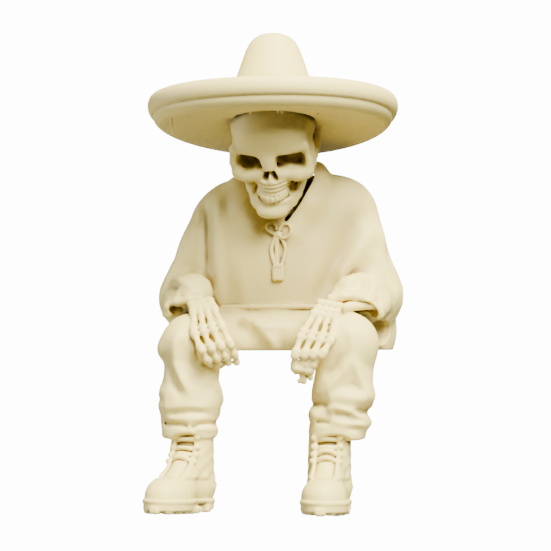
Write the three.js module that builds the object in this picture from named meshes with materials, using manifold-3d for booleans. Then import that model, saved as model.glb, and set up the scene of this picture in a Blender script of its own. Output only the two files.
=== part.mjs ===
// Skeleton shelf sitter: a one-piece plastic figure, about 170 mm from boot heel to hat top.
// A skeleton in a sombrero, poncho, trousers and laced boots sits with its hands on its knees.
// Millimetres, +Z up. The figure faces -Y and its seat rests on the plane z = 0.
// The origin is the middle of the flat under its seat, behind the edge that its legs hang over.
import * as THREE from "three";
import { LoftGeometry } from "three/addons/geometries/LoftGeometry.js";
import { mergeVertices } from "three/addons/utils/BufferGeometryUtils.js";
import Module from "manifold-3d";

const { abs, cos, exp, hypot, max, min, PI, sign, sin } = Math;
const wasm = await Module();
wasm.setup();

// Driving sizes
const HAT_RADIUS = 44.6; // the sombrero's widest circle
const HAT_RIM_Z = 85.9; // mean height of that circle over the seat
const HAT_CENTRE = [0.6, -40, HAT_RIM_Z];
const HAT_TILT_BACK = 1.5; // degrees, front edge up
const HAT_SADDLE = 1.3; // the brim's sides ride this much higher than its mean, front and back lower
const SKULL_CENTRE = [2.4, -44, 80.4]; // middle of the braincase
const SKULL_BOW = 35; // degrees that the face looks down
const SKULL_TURN = 5; // degrees that the face turns to the figure's right
const SKULL_ROLL = 1; // degrees that the crown leans to the figure's left
const SEAT_BACK = 24; // how far the poncho reaches behind the origin
const CALF_LINE = -35; // the back of the legs, where a shelf's front face comes
const HEM_Z = -30.4; // bottom of the trouser legs
const BOOT_LENGTH = 42;
const BOOT_WIDTH = 16.4;
const BOOT_TOE_UP = 6.7; // degrees
const LAP_HEM_Z = 16; // lower edge of the poncho's front

// The figure's right side is at -X and its left side at +X. A hand's rows of joints each run
// from the little finger to the first finger: palm root, knuckles, two finger joints, tips.
const RIGHT = {
  side: -1,
  shoulder: [-22, -9, 47.6],
  shoulderR: 12.6,
  elbow: [-35.4, -9, 20.6],
  cuff: [-27.4, -39, 20],
  wrist: [-24.5, -48, 17],
  hand: [
    [[-27, -50.5, 15.4], [-21.6, -50.8, 15.8]],
    [[-25.2, -58.3, 6.7], [-14.8, -56.4, 8.4]],
    [[-21.3, -60.3, 0.4], [-11.8, -58.2, 1.5]],
    [[-20.4, -57.6, -4.4], [-11.2, -55, -3.6]],
    [[-19.6, -53.8, -5.6], [-10.9, -51.4, -4.8]],
  ],
  thumb: [[-19.6, -50.4, 15], [-15.4, -53.4, 12], [-12.4, -54.4, 7], [-11, -53.2, 2.6]],
  knee: [-27.2, -46, 2.2],
  shin: [-27.6, -45.4, -18],
  hem: [-27, -46, HEM_Z],
  ankle: [-25.6, -46.5, -55.6],
  toeTurn: -6,
};
const LEFT = {
  side: 1,
  shoulder: [25, -9, 50.8],
  shoulderR: 13.4,
  elbow: [36.4, -8, 21.6],
  cuff: [27, -39, 20.5],
  wrist: [21.2, -49.6, 16.6],
  hand: [
    [[24.2, -51.2, 14.8], [18.8, -51.4, 15.2]],
    [[22, -58, 4.7], [12.5, -58.4, 6.4]],
    [[20, -60, -3.2], [9.4, -60, -1.6]],
    [[17.6, -57.6, -8.4], [10, -57.4, -6.4]],
    [[15.2, -54, -11.8], [10.8, -54, -10.4]],
  ],
  thumb: [[16.8, -51, 14.4], [12.2, -53.6, 11.4], [9.4, -54.6, 6.4], [8.8, -54, 1.8]],
  knee: [27, -46, 2.4],
  shin: [25, -45.4, -16],
  hem: [23.4, -46, HEM_Z],
  ankle: [22.2, -46.5, -55.4],
  toeTurn: -2.5,
};
const KNEE_R = 10.6;
const FOREARM_R = 2.6;
const FINGER_COUNT = 4;
const KNOB_R = 1.55; // at a finger's joints
const SHAFT_R = 1.05; // between them
const MERGE = 1e-4; // vertices nearer than this are one
const BEYOND = 60; // a cutting block's reach past the figure's middle

// Points are [x, y, z] arrays.
const plus = (a, b) => a.map((v, i) => v + b[i]);
const minus = (a, b) => a.map((v, i) => v - b[i]);
const times = (a, k) => a.map((v) => v * k);
const dot = (a, b) => a[0] * b[0] + a[1] * b[1] + a[2] * b[2];
const cross = (a, b) => [
  a[1] * b[2] - a[2] * b[1],
  a[2] * b[0] - a[0] * b[2],
  a[0] * b[1] - a[1] * b[0],
];
const unit = (a) => times(a, 1 / hypot(...a));
const between = (a, b, t) => plus(a, times(minus(b, a), t));
const ease = (lo, hi, v) => {
  const t = min(1, max(0, (v - lo) / (hi - lo)));
  return t * t * (3 - 2 * t);
};
const turned = (degrees, axis) =>
  new THREE.Matrix4().makeRotationAxis(new THREE.Vector3(...axis), (degrees * PI) / 180);

// Clay: each form is a function that gives a point's distance outside it, negative inside.
const ball = (centre, radii) => (p) => {
  const q = minus(p, centre);
  const near = hypot(...q.map((v, i) => v / radii[i]));
  const slope = hypot(...q.map((v, i) => v / radii[i] ** 2));
  return slope === 0 ? -min(...radii) : (near * (near - 1)) / slope;
};
const limb = (a, b, ra, rb = ra) => {
  const along = minus(b, a);
  const length2 = dot(along, along);
  return (p) => {
    const t = min(1, max(0, dot(minus(p, a), along) / length2));
    return hypot(...minus(p, plus(a, times(along, t)))) - ra - t * (rb - ra);
  };
};
const blend = (a, b, k) => {
  const h = max(k - abs(a - b), 0) / k;
  return min(a, b) - (h * h * k) / 4;
};
const melt = (k, ...forms) => (p) => forms.map((f) => f(p)).reduce((a, b) => blend(a, b, k));

// A fold runs along a line seen from the front: [x0, z0, x1, z1, half width, height].
// A negative height is a crease. It fades out towards the figure's back.
const FOLD_FADE = 10;
const folded = (form, folds, front) => (p) =>
  folds.reduce((d, [x0, z0, x1, z1, width, height]) => {
    const ax = x1 - x0;
    const az = z1 - z0;
    const t = min(1, max(0, ((p[0] - x0) * ax + (p[2] - z0) * az) / (ax * ax + az * az)));
    const off = hypot(p[0] - x0 - t * ax, p[2] - z0 - t * az) / width;
    return d - height * exp(-off * off) * (1 - ease(front, front + FOLD_FADE, p[1]));
  }, form(p));

// The outermost place where a ray leaves a form, found by steps and then by halving.
const RAY_STEPS = 60;
const HALVINGS = 12;
const NOTHING = 0.02; // reach of a ray that starts outside the form
function reach(form, from, way, far) {
  let out = far;
  for (let i = RAY_STEPS; i >= 0; i--) {
    const t = (far * i) / RAY_STEPS;
    if (form(plus(from, times(way, t))) < 0) {
      let low = t;
      for (let j = 0; j < HALVINGS; j++) {
        const mid = (low + out) / 2;
        if (form(plus(from, times(way, mid))) < 0) low = mid;
        else out = mid;
      }
      return (low + out) / 2;
    }
    out = t;
  }
  return NOTHING;
}

// Solids are joined and cut from closed geometries, whichever way round they were made.
function solid(geometry) {
  const bare = new THREE.BufferGeometry();
  bare.setAttribute("position", geometry.getAttribute("position")).setIndex(geometry.getIndex());
  const merged = mergeVertices(bare, MERGE);
  const place = merged.attributes.position;
  const corner = (i) => [place.getX(i), place.getY(i), place.getZ(i)];
  const all = Array.from(merged.index ? merged.index.array : place.array.keys());
  const faces = [];
  let volume = 0;
  for (let i = 0; i < all.length; i += 3) {
    const [a, b, c] = all.slice(i, i + 3);
    if (a === b || b === c || c === a) continue;
    faces.push([a, b, c]);
    volume += dot(corner(a), cross(corner(b), corner(c)));
  }
  const facing = volume < 0 ? faces.map(([a, b, c]) => [a, c, b]) : faces;
  const triVerts = new Uint32Array(facing.flat());
  return new wasm.Manifold(
    new wasm.Mesh({ numProp: 3, vertProperties: place.array, triVerts }),
  );
}

// A form skinned by rings round a line of stations {at, across, up, far}.
function ringed(form, stations, sides) {
  const ahead = minus(stations.at(-1).at, stations[0].at);
  const sections = stations.map(({ at, across, up, far }) =>
    Array.from({ length: sides }, (_, j) => {
      const handed = sign(dot(cross(across, up), ahead));
      const turn = (handed * 2 * PI * j) / sides;
      const way = plus(times(across, cos(turn)), times(up, sin(turn)));
      return new THREE.Vector3(...plus(at, times(way, reach(form, at, way, far))));
    }),
  );
  return solid(new LoftGeometry(sections, { capStart: true, capEnd: true }));
}

// Stations at even steps along straight runs, each ring square to its run and turned evenly between.
function route(points, steps, far) {
  const curve = new THREE.CatmullRomCurve3(points.map((p) => new THREE.Vector3(...p)));
  return Array.from({ length: steps + 1 }, (_, i) => {
    const ahead = curve.getTangentAt(i / steps).toArray();
    const across = unit(cross(ahead, abs(ahead[0]) > 0.8 ? [0, 1, 0] : [1, 0, 0]));
    return { at: curve.getPointAt(i / steps).toArray(), across, up: cross(ahead, across), far };
  });
}

// A round bar through points, with its own radius at each.
function tube(points, radii, sides) {
  const curve = new THREE.CatmullRomCurve3(points.map((p) => new THREE.Vector3(...p)));
  const sections = points.map((at, i) => {
    const ahead = curve.getTangent(i / (points.length - 1)).toArray();
    const across = unit(cross(ahead, abs(ahead[0]) > 0.8 ? [0, 1, 0] : [1, 0, 0]));
    const up = cross(ahead, across);
    return Array.from({ length: sides }, (_, j) => {
      const turn = (2 * PI * j) / sides;
      const out = plus(times(across, radii[i] * cos(turn)), times(up, radii[i] * sin(turn)));
      return new THREE.Vector3(...plus(at, out));
    });
  });
  return solid(new LoftGeometry(sections, { capStart: true, capEnd: true }));
}

// A form skinned from one middle point, for what has no holes when seen from there.
function rounded(form, middle, columns, rows, far) {
  const skin = new THREE.SphereGeometry(1, columns, rows);
  const place = skin.attributes.position;
  for (let i = 0; i < place.count; i++) {
    const way = unit([place.getX(i), place.getY(i), place.getZ(i)]);
    place.setXYZ(i, ...plus(middle, times(way, reach(form, middle, way, far))));
  }
  return solid(skin);
}

const box = (low, high) => {
  const size = minus(high, low);
  const centre = between(low, high, 0.5);
  return solid(new THREE.BoxGeometry(...size).translate(...centre));
};
const moved = (body, matrix) => body.transform(matrix.elements.slice());

// Sombrero: a turned profile, curled up a little at its sides.
function hat() {
  const crown = [
    [0, 27.2], [3.4, 26.7], [6.1, 24.9], [7.8, 22.2], [8.9, 20.2], [10.5, 16.8],
    [12.9, 11.8], [16.4, 7], [22, 2.6], [35.4, -1.8],
  ];
  const rim = [[40.4, 0], [43.3, 1.9], [44.4, 0.9], [HAT_RADIUS, -0.9], [44, -3], [43.2, -4.1]];
  const under = [[41.8, -5.8], [38, -8], [26, -7.6], [0, -6]];
  const outline = [...crown, ...rim, ...under].map(([r, z]) => new THREE.Vector2(r, z));
  const turnedSides = 35;
  const felt = new THREE.LatheGeometry(outline, turnedSides).rotateX(PI / 2);
  const place = felt.attributes.position;
  for (let i = 0; i < place.count; i++) {
    const [x, y] = [place.getX(i), place.getY(i)];
    place.setZ(i, place.getZ(i) + (HAT_SADDLE * (x * x - y * y)) / HAT_RADIUS ** 2);
  }
  return moved(solid(felt), turned(-HAT_TILT_BACK, [1, 0, 0]).setPosition(...HAT_CENTRE));
}

// Skull, in its own frame: face towards -Y, middle of the braincase at the origin.
function skull() {
  const pair = (make) => [-1, 1].map(make);
  const bone = melt(
    2.5,
    ball([0, 1, 5], [17.4, 21.5, 18.5]),
    ...pair((s) => ball([s * 5, -10, 0], [10.4, 11, 9])),
    limb([-10.6, -18, -2.4], [10.6, -18, -2.4], 2.6),
    ...pair((s) => limb([s * 12.2, -15.4, -4], [s * 11.6, -15.6, -11.4], 2.3)),
    ...pair((s) => limb([s * 11.4, -15.8, -11.6], [s * 5, -17.6, -11.8], 2.3)),
    limb([0, -19.4, -3], [0, -22, -8.4], 1.7),
    ball([0, -15.6, -14.4], [6.6, 6.6, 6.4]),
  );
  const head = rounded(bone, [0, -6, -6], 24, 15, 42);
  const sockets = pair((s) =>
    moved(
      rounded(ball([0, 0, 0], [5.1, 8, 3.3]), [0, 0, 0], 8, 6, 12),
      turned(s * 12, [0, 1, 0]).setPosition(s * 6.8, -19.6, -6.2),
    ),
  );
  const nose = pair((s) => tube([[s * 1.2, -26, -12.4], [s * 1.2, -15, -11.6]], [1.5, 1.3], 6));
  const cheeks = pair((s) =>
    tube([[s * 11.6, -15.2, -11], [s * 15, -8, -9.8], [s * 15, -1, -7.4]], [2.1, 1.7, 1.8], 6),
  );
  const jawSide = [[12.4, -1.5, -5], [11.9, -3, -16], [9, -9.4, -21.8], [4.6, -17, -25.6]];
  const flip = ([x, y, z]) => [-x, y, z];
  const jaw = tube(
    [...jawSide.map(flip), [0, -18.4, -26], ...jawSide.toReversed()],
    [2, 2.3, 2.5, 2.9, 3, 2.9, 2.5, 2.3, 2],
    7,
  );
  const teeth = rounded(ball([0, -15.4, -19.4], [5.7, 6.4, 4.6]), [0, -15.4, -19.4], 9, 5, 12);
  const carved = [...sockets, ...nose].reduce((a, b) => a.subtract(b), head);
  const face = [teeth, ...cheeks, jaw].reduce((a, b) => a.add(b), carved);
  const place = turned(SKULL_ROLL, [0, 1, 0])
    .multiply(turned(-SKULL_TURN, [0, 0, 1]))
    .multiply(turned(SKULL_BOW, [1, 0, 0]));
  const brimline = box([-40, -90, HAT_RIM_Z - 4], [40, 10, 130]);
  return moved(face, place.setPosition(...SKULL_CENTRE)).subtract(brimline);
}

// Neck, from inside the collar to the base of the skull.
function neck() {
  return tube([[1, -6, 43], [1.2, -24, 57], [1.6, -38, 72]], [6, 4.2, 5], 9);
}

// Poncho over the hunched back, chest and upper arms.
const PONCHO_FOLDS = [
  [-18, 50, -17.4, 17, 3.4, 1.1],
  [-23.6, 50, -23, 20, 3, -1.6],
  [30, 46, 17, 17, 3.2, -1.8],
  [34.6, 44, 23, 20, 3.2, 1],
];
function poncho() {
  const arms = [RIGHT, LEFT].map((arm) => limb(arm.shoulder, arm.elbow, arm.shoulderR, 10));
  const drape = folded(
    melt(
      7,
      ball([1, -3, 14], [40, 26, 26]),
      ball([1, 1, 7], [44, SEAT_BACK - 1.6, 27]),
      ball([1, -4, 22], [38, 23, 36]),
      ball([1, -9, 38], [31, 23, 27]),
      limb([1, -9, 46], [1, -13.5, 61.5], 18, 12.4),
      ...arms,
    ),
    PONCHO_FOLDS,
    -18,
  );
  const rings = 15;
  const top = 73;
  const below = 2;
  const stations = Array.from({ length: rings }, (_, i) => {
    const z = ((top + below) * i) / (rings - 1) - below;
    return { at: [1, -3 - 0.16 * max(0, z), z], across: [1, 0, 0], up: [0, 1, 0], far: 62 };
  });
  const sides = 32;
  const cloth = ringed(drape, stations, sides);
  const collarHole = ringed(
    melt(2, limb([1.4, -16, 54], [1.4, -38, 80], 9, 18), limb([2, -28, 56], [2, -41, 44], 5, 1)),
    route([[1.4, -8, 46], [1.6, -42, 88]], 6, 30),
    14,
  );
  const lapCut = box([-BEYOND, -70, -6], [BEYOND, -13, LAP_HEM_Z]);
  return cloth.subtract(collarHole).subtract(lapCut);
}

// Sleeves: the poncho's sides hang over the forearms, open at the front end.
function sleeve({ side, elbow, cuff }) {
  const cloth = folded(
    melt(
      4,
      limb(elbow, cuff, 9.8, 6.2),
      limb(plus(elbow, [side * 1.5, 1, -4]), plus(cuff, [side * 3, 5, -3]), 6.5, 4),
      limb(plus(elbow, [0, 0, 8]), elbow, 10.6, 10),
    ),
    [
      [side * 40, 26, side * 22, 19, 1.6, 0.8],
      [side * 40, 21.5, side * 26, 16.5, 1.4, -0.9],
    ],
    -20,
  );
  const start = plus(elbow, [-side * 8, 8, 2]);
  const line = [start, elbow, between(elbow, cuff, 0.5), cuff, plus(cuff, [-side * 3, -7.4, -1])];
  const arm = ringed(cloth, route(line, 8, 20), 14);
  const mouth = ringed(
    limb(plus(cuff, [side * 6, -12, -7]), between(elbow, cuff, 0.35), 5.4, 5.4),
    route([plus(cuff, [side * 7, -16, -9]), between(elbow, cuff, 0.2)], 5, 12),
    9,
  );
  return arm.subtract(mouth);
}

// Trousers: hips and thighs, flat underneath, and lower legs that hang over the edge.
const LAP_FOLDS = [
  [-17, 14.5, 1, 7.5, 2.6, 1.2],
  [14, 12, 6, 4, 2.6, -0.8],
];
function hips() {
  const thighs = [RIGHT, LEFT].map(({ side, knee }) => limb([side * 16, -4, 5], knee, 13, KNEE_R));
  const cloth = folded(melt(6, ball([0, -9, 5.5], [33, 27, 13.6]), ...thighs), LAP_FOLDS, -24);
  const middle = ringed(
    cloth,
    Array.from({ length: 8 }, (_, i) => {
      return { at: [0, 12 - 6.6 * i, 3], across: [1, 0, 0], up: [0, 0, 1], far: 50 };
    }),
    18,
  );
  const runs = [RIGHT, LEFT].map(({ side, knee }) =>
    ringed(cloth, route([[side * 19, -14, 4], plus(knee, [0, -9.5, 0])], 4, 15), 12),
  );
  const flatCut = box([-BEYOND, CALF_LINE, -30], [BEYOND, BEYOND, 0]);
  return middle.add(runs[0]).add(runs[1]).subtract(flatCut);
}

const LEG_FOLDS = {
  "-1": [
    [-33.5, 8, -27, -17, 2.8, 1.3],
    [-36, -6, -30.5, -18, 2.8, -1],
    [-36, -20.5, -20, -20, 2, -1.2],
    [-38, -25.6, -18, -25.6, 1.8, -1.3],
  ],
  1: [
    [25.5, 6, 18, -17, 2.6, 1.2],
    [27, 6, 33, -15, 2.6, 1.2],
    [14, -20.5, 24, -23, 2, -1.5],
    [28, -20, 36, -21, 2, -1.5],
  ],
};
function lowerLeg({ side, knee, shin, hem }) {
  const cloth = folded(
    melt(
      4,
      limb(knee, shin, KNEE_R, 9.4),
      limb(shin, plus(hem, [0, 0, 3]), 9.8, 8.6),
      limb(plus(hem, [0, 0, 2]), plus(hem, [0, 0, -1]), 8.8, 8.6),
    ),
    LEG_FOLDS[side],
    -44,
  );
  const top = knee[2] + 9;
  const rings = 13;
  const stations = Array.from({ length: rings }, (_, i) => {
    const z = top + ((HEM_Z - top) * i) / (rings - 1);
    const t = min(1, max(0, (knee[2] - z) / (knee[2] - HEM_Z)));
    return { at: [...between(knee, hem, t).slice(0, 2), z], across: [1, 0, 0], up: [0, 1, 0], far: 18 };
  });
  return ringed(cloth, stations, 16);
}

// Boot in its own frame: ankle over the origin, toe towards -Y, sole from z = 0.
const SOLE_THICKNESS = 4.6;
const HEEL_Y = 8.4;
function boot({ ankle, toeTurn }) {
  const half = BOOT_WIDTH / 2;
  const toeY = HEEL_Y - BOOT_LENGTH;
  const outline = new THREE.Shape();
  outline.moveTo(-half * 0.82, 2);
  outline.quadraticCurveTo(-half * 0.85, HEEL_Y, 0, HEEL_Y);
  outline.quadraticCurveTo(half * 0.85, HEEL_Y, half * 0.82, 2);
  outline.bezierCurveTo(half * 0.72, -8, half, -14, half, toeY + 11);
  outline.quadraticCurveTo(half * 0.98, toeY, 0, toeY);
  outline.quadraticCurveTo(-half * 0.98, toeY, -half, toeY + 11);
  outline.bezierCurveTo(-half, -14, -half * 0.72, -8, -half * 0.82, 2);
  const curveSegments = 3;
  const sole = solid(
    new THREE.ExtrudeGeometry(outline, { depth: SOLE_THICKNESS, bevelEnabled: false, curveSegments }),
  ).subtract(box([-20, -10.5, -1], [20, -2.6, 2]));
  const upper = melt(
    4,
    limb([0, 0, 9.5], [0, 0, 28], 7, 7.5),
    limb([0, 1.6, 8], [0, -14, 8.4], 6.6, 5.8),
    ball([0, -20.5, 6.6], [7.9, 11.6, 6.6]),
    limb([0, -4, 20], [0, -15, 10.5], 4.2, 4.4),
  );
  const shaft = ringed(
    upper,
    Array.from({ length: 4 }, (_, i) => {
      return { at: [0, -1, 11 + 6 * i], across: [1, 0, 0], up: [0, 1, 0], far: 14 };
    }),
    10,
  );
  const foot = rounded(upper, [0, -11, 6], 12, 8, 30).subtract(box([-20, -50, -10], [20, 30, 3]));
  const place = turned(toeTurn, [0, 0, 1]).multiply(turned(-BOOT_TOE_UP, [1, 0, 0]));
  return moved(shaft.add(foot).add(sole), place.setPosition(...ankle));
}

// A hand lies over the knee. Each finger is one chain, thick at its joints and thin between.
function chain(joints, knob, shaft, sides) {
  const points = joints.flatMap((p, i) => (i ? [between(joints[i - 1], p, 0.5), p] : [p]));
  return tube(points, points.map((_, i) => (i % 2 ? shaft : knob)), sides);
}
function hand({ hand: rows, thumb, elbow, wrist }) {
  const fingers = Array.from({ length: FINGER_COUNT }, (_, i) => {
    const share = i / (FINGER_COUNT - 1);
    return chain(rows.map(([outer, inner]) => between(outer, inner, share)), KNOB_R, SHAFT_R, 5);
  });
  const palm = tube([between(...rows[0], 0.5), wrist, between(wrist, elbow, 0.2)], [3.6, 3.4, 2.2], 7);
  const forearm = tube([wrist, elbow], [FOREARM_R, FOREARM_R], 6);
  return [...fingers, chain(thumb, KNOB_R, SHAFT_R, 5), forearm].reduce((a, b) => a.add(b), palm);
}

// Neck tie: two loops at the point of the collar and a tassel that hangs on the chest.
function tie() {
  const knot = [1.9, -31.8, 41];
  const loops = [-1, 1].map((s) => {
    const path = [[0, 0, 0], [s * 3, -0.6, 0.8], [s * 3.4, -0.2, 3.4], [s * 1, 0.8, 4.4]];
    return tube(path.map((p) => plus(knot, p)), [0.9, 0.9, 0.9, 0.9], 5);
  });
  const strands = melt(
    0.8,
    limb(knot, [0.9, -32.4, 31.6], 1.2, 1.5),
    limb(knot, [2.9, -32.4, 31.6], 1.2, 1.5),
    limb([1.9, -32.2, 30.6], [1.8, -31.6, 27], 1.9, 2),
  );
  const tassel = ringed(strands, route([plus(knot, [0, 0, 1]), [1.8, -31.6, 25]], 6, 5), 8);
  return loops.reduce((a, b) => a.add(b), tassel);
}

function figure() {
  const pairs = [RIGHT, LEFT].flatMap((arm) => [sleeve(arm), lowerLeg(arm), boot(arm), hand(arm)]);
  const body = [skull(), neck(), poncho(), hips(), tie(), ...pairs].reduce((a, b) => a.add(b), hat());
  const shelfSpace = box([-BEYOND, CALF_LINE, -BEYOND], [BEYOND, BEYOND, 0]);
  return body.subtract(shelfSpace);
}

function geometryOf(body) {
  const { vertProperties, triVerts } = body.getMesh();
  return new THREE.BufferGeometry()
    .setAttribute("position", new THREE.BufferAttribute(vertProperties, 3))
    .setIndex(new THREE.BufferAttribute(triVerts, 1));
}

const ivoryPlastic = new THREE.MeshStandardMaterial({ color: 0xeae0c6, roughness: 0.55, metalness: 0 });
const shelfSitter = new THREE.Mesh(geometryOf(figure()), ivoryPlastic);
shelfSitter.name = "skeleton_shelf_sitter";
const group = new THREE.Group();
group.add(shelfSitter);
export default group;
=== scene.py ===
# %% [markdown]
# A seated skeleton figure, printed in one piece of ivory plastic. It was modelled in software
# like wet clay and then printed in thin level layers, so every form runs into the next one.
# We follow the same road: forms are pressed together in a block of numbers, the block's skin
# becomes one mesh, and a satin plastic with faint layer lines covers it.

# %% Load the frame
import math
import bmesh
import bpy
import numpy as np
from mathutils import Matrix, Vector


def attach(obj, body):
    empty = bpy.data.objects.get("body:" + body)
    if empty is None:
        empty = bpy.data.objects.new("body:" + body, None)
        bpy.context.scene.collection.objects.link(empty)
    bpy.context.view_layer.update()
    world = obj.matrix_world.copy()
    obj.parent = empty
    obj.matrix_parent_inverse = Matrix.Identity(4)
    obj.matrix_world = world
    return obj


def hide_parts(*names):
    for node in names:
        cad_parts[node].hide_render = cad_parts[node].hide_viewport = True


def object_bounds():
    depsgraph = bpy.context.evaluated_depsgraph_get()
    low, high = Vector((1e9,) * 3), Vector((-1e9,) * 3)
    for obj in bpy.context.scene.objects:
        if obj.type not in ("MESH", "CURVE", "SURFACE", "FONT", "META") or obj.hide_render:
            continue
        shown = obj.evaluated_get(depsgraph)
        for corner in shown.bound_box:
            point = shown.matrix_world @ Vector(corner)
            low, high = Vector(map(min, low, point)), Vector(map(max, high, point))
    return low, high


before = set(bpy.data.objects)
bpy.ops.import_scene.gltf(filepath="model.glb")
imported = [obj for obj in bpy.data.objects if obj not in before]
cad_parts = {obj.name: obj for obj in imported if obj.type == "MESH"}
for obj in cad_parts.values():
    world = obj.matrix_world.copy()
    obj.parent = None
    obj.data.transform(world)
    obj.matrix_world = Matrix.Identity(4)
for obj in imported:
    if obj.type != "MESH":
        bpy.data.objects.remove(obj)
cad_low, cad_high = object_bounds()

import openvdb
from mathutils import Matrix, Vector

MM = 0.001
NODE = "skeleton_shelf_sitter"
print("frame box in mm", [round(v / MM, 1) for v in (*cad_low, *cad_high)])

# %% [markdown]
# The camera stands a little to the figure's left, at seat height, and looks slightly up under
# the brim. It is set first, so that every form can be judged from the right place.

# %% Camera
CAMERA_DISTANCE = 0.42
CAMERA_TURN = math.radians(5)
CAMERA_HEIGHT = 0.002
CAMERA_TILT_UP = math.radians(3.7)
AIM_TURN = math.radians(0.294)
SENSOR = 36.0
LENS = 70.04

camera_data = bpy.data.cameras.new("camera")
camera_data.sensor_width = SENSOR
camera_data.lens = LENS
camera = bpy.data.objects.new("camera", camera_data)
camera.location = (
    CAMERA_DISTANCE * math.sin(CAMERA_TURN),
    -CAMERA_DISTANCE * math.cos(CAMERA_TURN),
    CAMERA_HEIGHT,
)
camera.rotation_euler = (math.radians(90) + CAMERA_TILT_UP, 0, CAMERA_TURN + AIM_TURN)
bpy.context.scene.collection.objects.link(camera)
bpy.context.scene.camera = camera
print("camera at", [round(v, 3) for v in camera.location])

# %% [markdown]
# The clay is a block of small cells. Each cell holds its distance to the surface in
# millimetres, with a minus sign inside. A form is a function of x, y and z that gives such
# distances, so a ball, a bone or a whole sleeve can be tried, joined softly or cut away.

# %% Clay: forms
STEP = 0.3
FAR = 1.6  # the distance that an empty cell holds
TALL = 300  # a half size so big that a form never ends on that axis


def ball(centre, radii):
    """An egg with its three half sizes."""
    small = float(min(radii))

    def form(x, y, z):
        q = [(v - c) / r for v, c, r in zip((x, y, z), centre, radii)]
        share = np.sqrt(q[0] ** 2 + q[1] ** 2 + q[2] ** 2)
        slope = np.sqrt(sum((v / r) ** 2 for v, r in zip(q, radii)))
        return (share - 1) * np.maximum(share / np.maximum(slope, 1e-6), small)

    return form


def limb(start, end, start_radius, end_radius=None):
    """A round bar from start to end, with round ends."""
    grow = 0 if end_radius is None else end_radius - start_radius
    way = [b - a for a, b in zip(start, end)]
    length2 = sum(v * v for v in way) or 1e-6

    def form(x, y, z):
        p = [v - a for v, a in zip((x, y, z), start)]
        t = np.clip((p[0] * way[0] + p[1] * way[1] + p[2] * way[2]) / length2, 0, 1)
        gap = sum((v - t * w) ** 2 for v, w in zip(p, way))
        return np.sqrt(gap) - start_radius - t * grow

    return form


def block(centre, half, round_by):
    """A box with rounded edges."""

    def form(x, y, z):
        q = [abs(v - c) - h + round_by for v, c, h in zip((x, y, z), centre, half)]
        out = np.sqrt(sum(np.maximum(v, 0) ** 2 for v in q))
        inner = np.minimum(np.maximum(np.maximum(q[0], q[1]), q[2]), 0)
        return out + inner - round_by

    return form


print("cells of", STEP, "mm")

# %% Clay: joining and cutting


def blend(a, b, soft):
    """Two distances joined, with a fillet of about this size in the corner between them."""
    if not soft:
        return np.minimum(a, b)
    h = np.maximum(soft - abs(a - b), 0)
    return np.minimum(a, b) - h * h / (4 * soft)


def melt(soft, *forms):
    """Forms joined softly into one."""

    def form(x, y, z):
        out = forms[0](x, y, z)
        for other in forms[1:]:
            out = blend(out, other(x, y, z), soft)
        return out

    return form


def carve(soft, body, *tools):
    """A form with others cut out of it."""

    def form(x, y, z):
        out = body(x, y, z)
        for tool in tools:
            out = -blend(-out, tool(x, y, z), soft)
        return out

    return form


def keep(soft, body, bound):
    """The part of a form that lies in another."""
    return lambda x, y, z: -blend(-body(x, y, z), -bound(x, y, z), soft)


def swell(body, relief):
    """A form whose skin is raised by relief(x, y, z) millimetres."""
    return lambda x, y, z: body(x, y, z) - relief(x, y, z)


def placed(body, turn, centre):
    """A form made in a frame of its own, turned and moved into the figure."""

    def form(x, y, z):
        p = [x - centre[0], y - centre[1], z - centre[2]]
        return body(*[turn[0][i] * p[0] + turn[1][i] * p[1] + turn[2][i] * p[2] for i in range(3)])

    return form


def nearby(body, low, high):
    """A small form among big ones: it is worked out only in its own box, which saves time."""

    def form(x, y, z):
        inside = [
            np.nonzero((v.ravel() >= a) & (v.ravel() <= b))[0]
            for v, a, b in zip((x, y, z), low, high)
        ]
        out = np.full((x.size, y.size, z.size), FAR, np.float32)
        if all(len(rows) for rows in inside):
            i, j, k = [slice(rows[0], rows[-1] + 1) for rows in inside]
            out[i, j, k] = body(x[i], y[:, j], z[:, :, k])
        return out

    return form


def bars(points, radii, soft=0.6):
    """A row of bars through points, with one radius or with one for each point."""
    if not isinstance(radii, list):
        radii = [radii] * len(points)
    return melt(soft, *[limb(*pair) for pair in zip(points, points[1:], radii, radii[1:])])


def both(make):
    """The same thing for the right side, -1, and the left side, 1."""
    return [make(-1), make(1)]


class Clay:
    """The block of cells that the figure is pressed into."""

    def __init__(self, low, high):
        self.first = np.floor(np.array(low) / STEP).astype(int)
        self.cells = np.full(np.ceil(np.array(high) / STEP).astype(int) - self.first, FAR, np.float32)

    def window(self, low, high):
        """The cells of a box, and the places of their middles on the three axes."""
        start = np.maximum(np.floor(np.array(low) / STEP).astype(int) - self.first, 0)
        stop = np.minimum(np.ceil(np.array(high) / STEP).astype(int) - self.first, self.cells.shape)
        rows = [
            ((np.arange(a, b) + f) * STEP).astype(np.float32)
            for a, b, f in zip(start, stop, self.first)
        ]
        x, y, z = rows[0][:, None, None], rows[1][None, :, None], rows[2][None, None, :]
        return tuple(slice(a, b) for a, b in zip(start, stop)), x, y, z

    def add(self, form, low, high, soft=0.0):
        where, x, y, z = self.window(low, high)
        self.cells[where] = blend(self.cells[where], form(x, y, z), soft)

    def cut(self, form, low, high, soft=0.0):
        where, x, y, z = self.window(low, high)
        self.cells[where] = -blend(-self.cells[where], form(x, y, z), soft)


MARGIN = 4
clay = Clay([v / MM - MARGIN for v in cad_low], [v / MM + MARGIN for v in cad_high])
print("block of", clay.cells.size // 1000000, "million cells")

# %% [markdown]
# Cloth needs folds. A fold is drawn as a line on a side of the figure, as a tailor chalks it,
# with a width and a height. The height is negative for a crease. The line is drawn on two
# axes only, and it fades out where the cloth turns away, so it costs very little.

# %% Clay: folds


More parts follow.
